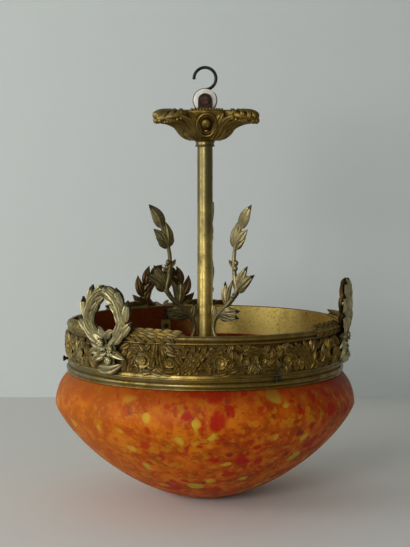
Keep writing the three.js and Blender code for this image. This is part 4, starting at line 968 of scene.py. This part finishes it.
def frieze_relief(run, tall, depth, rng):
    """One third of the frieze's carving, laid flat as [across, up, outwards]: acanthus scrolls that curl
    round roses, a bound sheaf of reeds on each side, and loose leaves that follow the scrolls."""
    parts = []
    # Scrolls on one side of the wreath: place along, height, radius, sense of turn, size of the rose
    scrolls = [
        (46, -1.0, 13.5, 1, 9.4),
        (76, -2.5, 12.5, -1, 6.4),
        (129, -1.5, 13.5, 1, 8.8),
        (156, -1.0, 11.5, -1, 5.8),
    ]
    # The sheaf's place along, and how far it leans for each millimetre of height
    sheaf, sheaf_lean = 102, 0.62
    for mirror in (1, -1):

        def put(shape):
            points, faces = shape
            if mirror < 0:
                points = points * np.array([-1, 1, 1]) + np.array([run, 0, 0])
            parts.append((points, faces))

        for along, up, radius, sense, bloom in scrolls:
            stem = []
            for t in np.linspace(0, 1, 46):
                angle = sense * (-1.9 + 5.6 * t)
                far = radius * (1 - 0.4 * t)
                stem.append([along + far * math.cos(angle), up + far * math.sin(angle), 0.5 + 0.8 * t])
            stem = np.array(stem)
            put(swept(stem, np.linspace(1.4, 0.9, len(stem)), 8))
            for k in range(0, 42, 8):
                ahead = stem[k + 3] - stem[k]
                ahead[2] = 0
                ahead /= np.linalg.norm(ahead)
                outward = stem[k] - np.array([along, up, 0])
                outward[2] = 0
                outward /= np.linalg.norm(outward)
                # A leaf on each side of the stem, the outer one more open
                for way in (rng.uniform(0.4, 0.9), rng.uniform(-0.4, -0.1)):
                    size = rng.uniform(13, 16) * (1 - 0.2 * k / 40)
                    grow = ahead + outward * way + np.array([0, 0, 0.08])
                    if -0.5 * tall < (stem[k] + grow * size * 0.9)[1] < 0.52 * tall:
                        put(aimed(leaf(size, size * 0.48, depth * 1.1, 0.8, -0.5), stem[k], grow))
            put(moved(rose(bloom, depth * 1.6, 5, 0.4 * along), Matrix.Translation((along, up, 0.6))))
            # Large roses have an outer ring of leaves
            if bloom > 7:
                for angle in np.radians(np.arange(6) * 60 + 25):
                    out = np.array([math.cos(angle), math.sin(angle), 0.1])
                    start = np.array([along, up, 0.2]) + out * bloom * 0.55
                    put(aimed(leaf(9.5, 6.4, depth, 0.9, -0.6), start, out))

        # The sheaf: four long reeds that fan out at the top, with leaves beside them
        for k, shift in enumerate((-7.2, -2.4, 2.4, 7.2)):
            reed = [
                [sheaf - 11 + 0.8 * shift, -tall * 0.45, 0.8],
                [sheaf - 4 + 0.85 * shift, -tall * 0.14, 2.0],
                [sheaf + 3 + shift, tall * 0.16, 2.0],
                [sheaf + 10 + 1.3 * shift, tall * (0.46 - 0.03 * (k % 2)), 1.2],
            ]
            line = curve_through(reed, 18)
            put(swept(line, 1.5 * np.sin(np.linspace(0.5, 2.75, 18)) ** 0.5, 8))
            # Each reed is laid with long bracts that overlap upwards
            for n in range(1 + k % 2, 14, 3):
                ahead = line[n + 3] - line[n]
                put(aimed(leaf(10.5, 4.8, depth, 0.9, -0.5), line[n] + np.array([0, 0, 0.4]), ahead))
        for k in range(4):
            out = (0.15 - 0.3 * k, 1 - 0.1 * k, 0.1)
            put(aimed(leaf(13 - k, 6, depth, 0.8), (sheaf - 11 - 1.4 * k, 4 - 3 * k, 0.6), out))
            down = (-0.3 + 0.35 * k, -1 + 0.1 * k, 0.1)
            put(aimed(leaf(9.5, 5.4, depth, 0.6), (sheaf + 6 + 2.4 * k, -3 + 1.2 * k, 0.6), down))

        # Loose leaves fill what is left; each follows the turn of the scroll that it is nearest to
        taken = []
        tries, apart, sheaf_half = 1600, 7.5, 12
        for _ in range(tries):
            spot = np.array([rng.uniform(22, run / 2), rng.uniform(-0.52, 0.42) * tall])
            if any(np.hypot(*(spot - other)) < apart for other in taken):
                continue
            near = min(scrolls, key=lambda one: math.hypot(spot[0] - one[0], spot[1] - one[1]))
            centre, radius, sense = np.array(near[:2]), near[2], near[3]
            away = spot - centre
            off_sheaf = abs(spot[0] - sheaf - spot[1] * sheaf_lean)
            if np.hypot(*away) < radius * 0.6 or off_sheaf < sheaf_half:
                continue
            taken.append(spot)
            turn = math.atan2(away[1], away[0]) + sense * (1.57 - rng.uniform(0.1, 0.7))
            size = rng.uniform(11, 14.5)
            end = spot[1] + size * math.sin(turn)
            if end > tall * 0.5 or end < -tall * 0.5:
                turn = -turn
            grow = (math.cos(turn), math.sin(turn), 0.12)
            # Its root stays on the wall, over the moulding
            root = spot - 0.4 * size * np.array(grow[:2])
            root[1] = max(root[1], -0.46 * tall)
            put(aimed(leaf(size, rng.uniform(5.6, 7.2), depth, 0.8, -0.4), (*root, 0), grow))
    return merged(parts)


class LAMP_OT_ring(bpy.types.Operator):
    """Makes the gallery ring: rim with its laurel sprays, carved frieze and base moulding"""

    bl_idname = "lamp.ring"
    bl_label = "Gallery ring"

    def execute(self, context):
        sizes = context.scene.lamp_sizes
        inside = sizes.ring_inside / MM
        outside = inside + sizes.ring_wall / MM
        rim_top, frieze_top = top("gallery_rim"), top("gallery_frieze")
        base_top, ring_low = top("gallery_base"), bottom("gallery_base")
        steps = 256

        def lined(outline):
            """An outline turned round, with the second finish inside and the third on the rest."""
            ends = (0, len(outline) - 1)
            ring = turned(outline, steps)
            return split(ring, lambda face: all(i % len(outline) in ends for i in face), (2, 1))

        bead, fillet = 2.9, 1.5
        rim = [
            [inside, frieze_top],
            [outside, frieze_top],
            *arc(outside + 0.2, frieze_top + fillet, fillet, -70, 70, 6),
            [outside + 0.3, frieze_top + 2 * fillet + 0.35],
            *arc(outside - 0.3, rim_top - bead, bead, -70, 90, 10),
            [inside + 1, rim_top],
            [inside, rim_top - 1],
        ]
        parts = lined(rim)
        # A spray of laurel lies over the bead on each side of a wreath and points away from it
        rng = random.Random(SEED)
        rows, row_start, row_step = 5, 29, 11.2
        for azimuth in azimuths("spider_arm"):
            for side in SIDES:
                stem = [[side * x, rim_top - 1.2, 0.2] for x in np.linspace(24, 84, 20)]
                parts.append(round_ring(swept(stem, np.linspace(3.0, 2.2, 20)), azimuth, outside))
                for row in range(rows):
                    # Three leaves: how far each is tilted, its height, how far it stands out, its width
                    for fall, up, out, width in [
                        (-34, 2.4, 2.4, 8.2),
                        (-10, 3.6, 1.8, 8.0),
                        (14, 3.2, -0.4, 7.6),
                    ]:
                        tilt = math.radians(fall)
                        size = rng.uniform(16, 18) * (1 if row < rows - 1 else 0.84)
                        rise = 0.4 * (1 - row / rows)
                        spray = leaf(size, width, 2.8, -0.6, -0.4, 10)
                        along = (side * math.cos(tilt), math.sin(tilt), 0.1)
                        facing = (0, 0.3 if fall < -20 else 1.2, 1)
                        across = side * (row_start + row * row_step + 0.12 * fall)
                        place = (across, rim_top - 0.6 + up * (0.6 + rise), out)
                        parts.append(round_ring(aimed(spray, place, along, facing), azimuth, outside))
        finishes = ["gilt_bronze", "ring_inside", "moulded_bronze"]
        piece("ring_rim", parts, finishes, "lamp", ["gallery_rim"])

        # The frieze: a plain wall with the same carving on each third of it; the wall is painted in shade
        # behind the carving
        wall = [[inside, base_top], [outside, base_top], [outside, frieze_top], [inside, frieze_top]]
        parts = lined(wall)
        run = 2 * math.pi * outside / 3
        tall = frieze_top - base_top
        for azimuth in azimuths("spider_arm"):
            points, faces = frieze_relief(run, tall, sizes.relief / MM, rng)
            raised = (points + np.array([0, (frieze_top + base_top) / 2, 0]), faces)
            parts.append((round_ring(raised, azimuth, outside), 0))
        finishes = ["gilt_bronze", "ring_inside", "casting_back"]
        piece("ring_frieze", parts, finishes, "lamp", ["gallery_frieze"])

        # The base: a small bead, a large one, a cove and a last bead under the frieze
        torus_r, torus = outside + 0.4, 2.8
        torus_z = ring_low + 2.6 + torus
        cove = base_top - torus_z - torus
        base = [
            [inside, ring_low + 4.5],
            [inside + 2.6, ring_low],
            [torus_r + 1.2, ring_low],
            *arc(torus_r + 1.0, ring_low + 1.0, 0.9, -60, 70, 4),
            *arc(torus_r, torus_z, torus, -72, 76, 8),
            [outside - 0.1, torus_z + torus + 0.35],
            *arc(outside + 0.1, base_top - 0.5 * cove, 1.35, -75, 75, 6),
            [outside, base_top],
            [inside, base_top],
        ]
        base_ring = turned(base, steps)
        piece("ring_base", [base_ring], ["moulded_bronze"], "lamp", ["gallery_base"])
        return {"FINISHED"}


def laurel_branch(line, side, size, rng):
    """One branch of a wreath along a line, with its rows of leaves: shapes, and the finish of each."""
    rows = 5
    run = np.linalg.norm(np.diff(line, axis=0), axis=1).sum()
    # How far the inner leaves spread, by share of the branch
    spread = ((0, 0.3, 0.65, 1), (0.8, 0.85, 1.4, 1.0))
    along = np.gradient(line, axis=0)
    along /= np.linalg.norm(along, axis=1)[:, None]
    outward = np.column_stack([along[:, 1], -along[:, 0], np.zeros(len(line))]) * side

    def follow(start, span, offsets, lifts):
        """Points beside the branch, from a share of it over a span in millimetres."""
        points = []
        for u, offset, lift in zip(np.linspace(0, 1, len(offsets)), offsets, lifts):
            k = min((start + u * span / run) * (len(line) - 1), len(line) - 1.001)
            low, mix = int(k), k - int(k)
            base = line[low] * (1 - mix) + line[low + 1] * mix
            offset = offset * np.interp(k / (len(line) - 1), *spread)
            points.append(base + outward[low] * offset + np.array([0, 0, lift]))
        return points

    def stand_out(start, span, turn, lifts):
        """A straight leaf's path from a share of the branch, turned outwards by degrees."""
        k = int(start * (len(line) - 1))
        turn = math.radians(turn)
        grow = along[k] * math.cos(turn) + outward[k] * math.sin(turn)
        root = line[k] + outward[k] * 1.4
        bow = outward[k] * span * 0.06
        return [
            root + grow * span * u + bow * math.sin(math.pi * u) + np.array([0, 0, lift])
            for u, lift in zip((0, 0.33, 0.67, 1), lifts)
        ]

    parts = [(swept(line, np.linspace(3.2, 2.4, len(line)), 8), 0)]
    for row in range(rows):
        start = 0.04 + 0.72 * row / (rows - 1)
        full = 0.86 + 0.14 * math.sin(math.pi * min(start * 1.25 + 0.1, 1))
        # The outer leaf, seen from both sides, with a dark tip, and painted shade on its back face
        share = np.interp(start, (0, 0.5, 0.76), (1.0, 0.98, 0.72))
        span = size * share * rng.uniform(0.96, 1.05)
        turn = np.interp(start, (0, 0.3, 0.6, 0.76), (2, 13, 10, -3)) + rng.uniform(-2, 3)
        for face, lifts in [(1, (-0.6, 1.6, 2.2, 1.0)), (-1, (-1.4, -2.2, -2.4, -0.2))]:
            path = stand_out(start, span, turn, lifts)
            grown = blade(path, (0, 0, face), 10.4 * full, 2.9, 14, -1.2)
            parts += dark_tipped(grown, 0.78) if face > 0 else [(grown, 2)]
        # The inner, the middle and the back leaf: offsets from the branch, heights over it, width, and
        # how much further on it starts
        for offsets, lifts, width, shift in [
            ((-0.6, -3.2, -4.6, -4.8), (-0.8, 1.0, 2.0, 1.6), 8.8, 0.05),
            ((0.2, 1.2, 1.6, 2.4), (0.6, 2.6, 3.6, 3.0), 8.0, 0.08),
            ((-0.4, -2.8, -4.2, -4.4), (-1.4, -2.4, -3.0, -2.2), 9.0, 0.02),
        ]:
            bent = [o + rng.uniform(-0.4, 0.4) for o in offsets]
            path = follow(start + shift, size * rng.uniform(0.94, 1.0), bent, lifts)
            face = 1 if lifts[-1] > 0 else -1
            grown = blade(path, (0, 0, face), width * full, 3.0, 13, -1.2)
            # Leaves that face backwards are painted in shade, over the rough back of the casting
            parts.append((grown, 0 if face > 0 else 2))
    return parts


def rose_cluster(rng):
    """The cluster below a wreath: roses, the branches' cut ends, and leaves beside and below them."""
    cluster = []
    # Each rose: its place across and up, its radius, and how far out it sits, sunk into the frieze
    for bloom_x, bloom_h, radius, rise in [
        (-5, -11.5, 10.5, -2.6),
        (10, -17, 8.6, -2.0),
        (6, -30, 9.4, -3.8),
    ]:
        bloom = rose(radius, 9.0, 5, rng.uniform(0, 1))
        cluster.append(moved(bloom, Matrix.Translation((bloom_x, bloom_h, rise))))
    for side, tip, drop in [(-1, 18, -2.5), (1, 15, 3.0), (-1, 8, 6.5), (1, 7, -4.0)]:
        path = [[side * 2, -6, 1.4], [side * tip * 0.6, drop * 0.4, 3.0], [side * tip, drop, 2.0]]
        cluster.append(blade(path, (0, 0, 1), 7.6, 2.6, 10, -0.7))
    for reach_x, reach_h, width in [
        (-26, -13, 9.5),
        (-27, -27, 9.5),
        (-18, -39, 9.5),
        (26, -28, 8.5),
        (-9, -27, 10),
    ]:
        start = np.array([0.2 * reach_x, -20 + 0.2 * (reach_h + 20), -3.0])
        end = np.array([reach_x, reach_h, -3.4])
        bend = (start + end) / 2 + np.array([0.12 * reach_h, 0.1 * abs(reach_x), 3.0])
        cluster.append(blade([start, bend, end], (0, 0, 1), width, 3.4, 14, -1.0))
    broad = [[-14, -40, -3.2], [-1, -40.5, 0.6], [12, -38.5, 1.6], [25, -32, -1.6]]
    cluster.append(blade(broad, (0, 0, 1), 12, 3.8, 16, -1.8))
    return cluster


class LAMP_OT_wreaths(bpy.types.Operator):
    """Makes the three laurel wreaths, each with its cluster of roses"""

    bl_idname = "lamp.wreaths"
    bl_label = "Wreaths"

    def execute(self, context):
        size = context.scene.lamp_sizes.wreath_leaf / MM
        # How far out a wreath stands, and its height over the rim, half width and depth below the rim
        middle = 164.8
        high, half, deep = 46.0, 26.5, 22.0
        bends = [
            [half * 0.3, -deep * 0.55, 0],
            [half * 0.83, high * 0.07, 0],
            [half * 0.96, high * 0.3, 0],
            [half * 0.78, high * 0.61, 0],
            [half * 0.45, high * 0.85, 0],
            [-1, high * 0.99, 0],
        ]
        branch = curve_through(bends, 100)
        lift = Matrix.Translation((0, top("gallery_rim"), 0))
        for i, azimuth in zip(THIRDS, azimuths("spider_arm")):
            rng = random.Random(SEED + i)
            parts = []
            for side in SIDES:
                parts += laurel_branch(branch * np.array([side, 1, 1]), side, size, rng)
            # The berries where the two branches meet, in front and behind
            for out in (2.2, -2.0):
                parts.append((ball(3.6, (0.6, high - 0.6, out), (0.8, 1.2, 0.7)), 0))
            parts += [(shape, 0) for shape in rose_cluster(rng)]
            stood = []
            for shape, look in parts:
                stood.append((round_ring(moved(shape, lift), azimuth, middle, curved=False), look))
            finishes = ["wreath_bronze", "leaf_tips", "casting_back"]
            piece(f"wreath_casting_{i}", stood, finishes, "lamp", [f"wreath_{i}"])
        return {"FINISHED"}


class LAMP_OT_sprigs(bpy.types.Operator):
    """Makes the three upright laurel sprigs round the tube's foot"""

    bl_idname = "lamp.sprigs"
    bl_label = "Sprigs"

    def execute(self, context):
        wide = context.scene.lamp_sizes.sprig_leaf / MM
        rim_top = top("gallery_rim")
        # The hub's shoulder that a sprig's foot stands on, over the rim, and how far out a sprig reaches
        seat = top("hub") - 4.5 - rim_top
        far = 66.0
        # Places along the stem: distance from the lamp's middle and height above the rim
        places = [
            (17.5, seat + 1),
            (15.1, seat + 7),
            (12.6, -0.15 * far),
            (0.24 * far, 0.02 * far),
            (0.39 * far, 0.18 * far),
            (0.58 * far, 0.35 * far),
            (0.71 * far, 0.55 * far),
            (0.67 * far, 0.79 * far),
            (0.65 * far, 1.09 * far),
            (0.7 * far, 1.39 * far),
            (0.8 * far, 1.65 * far),
            (0.92 * far, 1.88 * far),
        ]
        # Each leaf: share along the stem, growth outwards and upwards as shares of the reach, width, tip
        leaves = [
            (0.17, -0.03, 0.29, 0.6, 1),
            (0.19, 0.53, 0.14, 0.8, 1),
            (0.2, 0.47, -0.03, 0.85, 1),
            (0.21, 0.32, -0.09, 0.8, 0),
            (0.2, 0.42, 0.03, 1.3, 0),
            (0.3, 0.14, 0.47, 0.55, 0),
            (0.31, -0.04, 0.42, 0.8, 1),
            (0.45, 0.24, 0.44, 0.85, 1),
            (0.44, 0.4, 0.32, 0.85, 1),
            (0.46, 0.12, 0.33, 0.8, 0),
            (0.44, 0.24, 0.3, 1.4, 0),
            (0.61, -0.11, 0.12, 0.4, 0),
            (0.75, 0.05, 0.44, 0.95, 0),
            (0.75, 0.27, 0.32, 0.9, 0),
            (0.74, 0.23, 0.18, 0.75, 0),
            (0.74, 0.15, 0.31, 1.35, 0),
            (0.89, 0.24, 0.42, 1.0, 1),
        ]
        for i, azimuth in zip(THIRDS, azimuths("laurel_sprig")):
            rng = random.Random(SEED + 10 * i)
            stem = curve_through([[0, h + rim_top, r] for r, h in places], 110)
            radii = np.interp(np.linspace(0, 1, len(stem)), (0, 0.5, 1), (2.3, 2.9, 1.4))
            parts = [(swept(stem, radii), 0)]
            for share, out, up, width, tip in leaves:
                place = stem[min(int(share * len(stem)), len(stem) - 1)]
                grow = np.array([0, up, out]) * far
                sag = np.cross(grow, [1, 0, 0]) * rng.uniform(0.02, 0.08)
                # A flat casting: the leaf shows its veins on both faces
                for face in SIDES:
                    path = [
                        place + np.array([0.3 * face, 0, 0]),
                        place + grow * 0.5 + sag + np.array([face * 1.1, 0, 0]),
                        place + grow + np.array([face * 0.4, 0, 0]),
                    ]
                    grown = blade(path, (face, 0, 0), wide * width, 1.7, 13, -0.7)
                    parts += dark_tipped(grown, 0.8) if tip else [(grown, 0)]
            # Two berries beside the stem
            for share, side in ((0.6, -1), (0.64, 1)):
                place = stem[int(share * len(stem))]
                parts.append((ball(3.0, place + np.array([side * 0.8, 0, 2.4]), (1, 1.2, 1)), 0))
            # A tendril wound round the stem
            wound = []
            for t in np.linspace(0, 1, 60):
                place = stem[int((0.395 + 0.05 * t) * len(stem))]
                angle = 5 * math.pi * t
                around = np.array([math.cos(angle), 0.35 * math.sin(angle), math.sin(angle)])
                wound.append(place + 3.2 * around)
            parts.append((swept(curve_through(wound[::4], 60), 1.3, 7), 0))
            # The foot that is screwed to the hub: half its width, where it starts and ends, its height
            half, near, end, tall = 4, 13.5, 23.5, 2.5
            corners = [(-half, near), (half, near), (half, end), (-half, end)]
            levels = (seat + rim_top, seat + rim_top + tall)
            foot = loft([np.array([[x, level, r] for x, r in corners]) for level in levels])
            parts.append((foot, 0))
            stood = [(round_ring(shape, azimuth, 0.0, curved=False), look) for shape, look in parts]
            # The sprig on the left is darker and browner than the others
            finishes = ["browned_bronze" if azimuth < 0 else "pale_gilt_bronze", "leaf_tips"]
            piece(f"sprig_casting_{i}", stood, finishes, "lamp", [f"laurel_sprig_{i}"])
        return {"FINISHED"}


class LAMP_OT_bowl(bpy.types.Operator):
    """Makes the mottled glass bowl"""

    bl_idname = "lamp.bowl"
    bl_label = "Glass bowl"

    def execute(self, context):
        sizes = context.scene.lamp_sizes
        radius, wall = sizes.bowl / MM, sizes.bowl_wall / MM
        rim_top, pole, lip_top = top("gallery_rim"), bottom("glass_bowl"), top("glass_bowl")
        waist = rim_top - 95
        deep = waist - pole
        neck, lip, steps = 150.0, 153.0, 192

        def side(angle, r, depth):
            """The bowl below its waist: nearly an ellipse, fuller low down."""
            ground = 1 + 0.0145 * math.sin(angle) ** 8
            return [r * math.cos(angle) ** 1.08, waist - depth * math.sin(angle) ** 1.59 * ground]

        bends = [
            (neck, rim_top - 46),
            (neck + 0.4, rim_top - 49.9),
            (153.4, rim_top - 53.2),
            (159.2, rim_top - 58.6),
            (radius - 9.7, rim_top - 65.7),
            (radius - 5.1, rim_top - 73),
            (radius - 2.2, rim_top - 80.8),
            (radius - 0.5, rim_top - 88),
            (radius, waist),
        ]
        # The outside from the neck down to the pole, and the inside from there up to the lip
        shoulder = curve_through(bends, 40).tolist()
        angles = np.linspace(0, 1.436, 44)[1:]
        outside = shoulder + [side(a, radius, deep) for a in angles] + [[0, pole]]
        inner = [side(a, radius - wall, deep - wall) for a in angles]
        inside = [[0, pole + wall]] + inner[::-1]
        inside += [[r - wall * 0.9, z] for r, z in shoulder[::-1] if r > neck + 1]
        inside += [[neck - wall, rim_top - 48], [neck - wall, lip_top - 1.2], [neck - wall + 1.2, lip_top]]
        # The rolled lip that the screws hold
        roll = 1.6
        edge = [
            *arc(lip - roll, lip_top - roll, roll, 90, 0, 5),
            *arc(lip - roll, lip_top - 5.4, roll, 0, -80, 5),
            [neck, lip_top - 7.6],
        ]
        outline = inside + edge + outside
        size, inner_size = len(outline), len(inside)
        parts = split(turned(outline, steps), lambda face: all(i % size < inner_size for i in face))
        finishes = ["bowl_outside", "bowl_inside"]
        piece("bowl_glass", parts, finishes, "lamp", ["glass_bowl"], sharp=60)
        return {"FINISHED"}


class LAMP_OT_screws(bpy.types.Operator):
    """Makes the three thumb screws with their trumpet heads"""

    bl_idname = "lamp.screws"
    bl_label = "Thumb screws"

    def execute(self, context):
        # Radii of the shank and the head, the thread's pitch, and how far out the tip and the head stand
        shank, head, pitch = 1.7, 3.4, 0.5
        tip, start = 150.3, 164.1
        end = start + 3.4
        outline = [[0, tip], [shank * 0.7, tip], [shank, tip + 0.6]]
        for z in np.arange(tip + 1.0, start - 1.2, pitch):
            outline += [[shank - 0.12, z], [shank + 0.03, z + pitch / 2]]
        outline += [
            [shank, start - 0.4],
            [shank + 0.25, start + 0.5],
            [shank + 0.75, start + 1.2],
            [head - 0.15, start + 2.0],
            [head, start + 2.4],
            [head, end - 0.35],
            [head - 0.35, end],
            [head * 0.6, end],
            [head * 0.5, end - 0.4],
            [0, end - 0.4],
        ]
        laid = moved(turned(outline, 24), Matrix.Rotation(math.radians(90), 4, "X"))
        for i, azimuth in zip(THIRDS, azimuths("thumb_screw")):
            node = f"thumb_screw_{i}"
            low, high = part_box(node)
            spin = Matrix.Rotation(math.radians(azimuth), 4, "Z")
            spin.translation = Vector((0, 0, (low.z + high.z) / 2 / MM))
            screw = moved(laid, spin)
            piece(f"bowl_screw_{i}", [screw], ["dark_steel"], f"{node}_body", [node])
        return {"FINISHED"}


class LAMP_OT_bulb(bpy.types.Operator):
    """Makes the bayonet bulb, and dresses the lampholder that carries it"""

    bl_idname = "lamp.bulb"
    bl_label = "Lampholder and bulb"

    def execute(self, context):
        for node, key, edge in [
            ("lampholder_cap", "fitting_brass", 0.3),
            ("lampholder_shell", "fitting_brass", 0.3),
            ("lampholder_ring", "fitting_brass", 0.3),
            ("plunger_left", "fitting_brass", 0.2),
            ("plunger_right", "fitting_brass", 0.2),
            ("lampholder_insert", "porcelain", 0.3),
            ("bulb_cap", "nickel", 0.25),
            ("filament_mount", "nickel", 0.1),
        ]:
            dress(node, key, edge)

        cap_top, cap_foot = top("bulb_glass"), bottom("bulb_cap")
        radius, neck, thick = 30.0, 9.7, 1.2
        middle = bottom("bulb_glass") + radius

        def layer(inset):
            """One side of the glass, from the cap down the neck and round the globe."""
            throat = [
                (neck - inset, cap_foot - 1),
                (neck + 1.6 - inset, cap_foot - 6),
                (neck + 5.2 - inset, cap_foot - 13),
                *arc(0, middle, radius - inset, 48, 30, 2),
            ]
            return [
                [neck - inset, cap_top],
                [neck - inset, cap_foot],
                *curve_through(throat, 16).tolist(),
                *arc(0, middle, radius - inset, 24, -84, 22),
                [0, middle - radius + inset],
            ]

        glass = turned(layer(thick)[::-1] + layer(0), 56)
        piece("bulb_envelope", [glass], ["clear_glass"], "bulb", ["bulb_glass"], sharp=60)
        return {"FINISHED"}


BUILDERS = (
    LAMP_OT_stage,
    LAMP_OT_hook,
    LAMP_OT_cup,
    LAMP_OT_stem,
    LAMP_OT_spider,
    LAMP_OT_ring,
    LAMP_OT_wreaths,
    LAMP_OT_sprigs,
    LAMP_OT_bowl,
    LAMP_OT_screws,
    LAMP_OT_bulb,
)


class LAMP_PT_panel(bpy.types.Panel):
    """Lists the lamp's sizes, colours and pieces"""

    bl_idname = "LAMP_PT_panel"
    bl_label = "Pendant lamp"
    bl_space_type = "VIEW_3D"
    bl_region_type = "UI"
    bl_category = "Lamp"

    def draw(self, context):
        scene = context.scene
        for group in (scene.lamp_sizes, scene.lamp_colours):
            box = self.layout.box()
            for name in group.__annotations__:
                box.prop(group, name)
        for builder in BUILDERS:
            self.layout.operator(builder.bl_idname)


CLASSES = (LampSizes, LampColours, *BUILDERS, LAMP_PT_panel)


def register():
    for kind in CLASSES:
        bpy.utils.register_class(kind)
    bpy.types.Scene.lamp_sizes = bpy.props.PointerProperty(type=LampSizes)
    bpy.types.Scene.lamp_colours = bpy.props.PointerProperty(type=LampColours)


def unregister():
    del bpy.types.Scene.lamp_colours
    del bpy.types.Scene.lamp_sizes
    for kind in reversed(CLASSES):
        bpy.utils.unregister_class(kind)


def main():
    register()
    bpy.ops.lamp.stage()
    bpy.ops.lamp.hook()
    bpy.ops.lamp.cup()
    bpy.ops.lamp.stem()
    bpy.ops.lamp.spider()
    bpy.ops.lamp.ring()
    bpy.ops.lamp.wreaths()
    bpy.ops.lamp.sprigs()
    bpy.ops.lamp.bowl()
    bpy.ops.lamp.screws()
    bpy.ops.lamp.bulb()


if __name__ == "__main__":
    main()
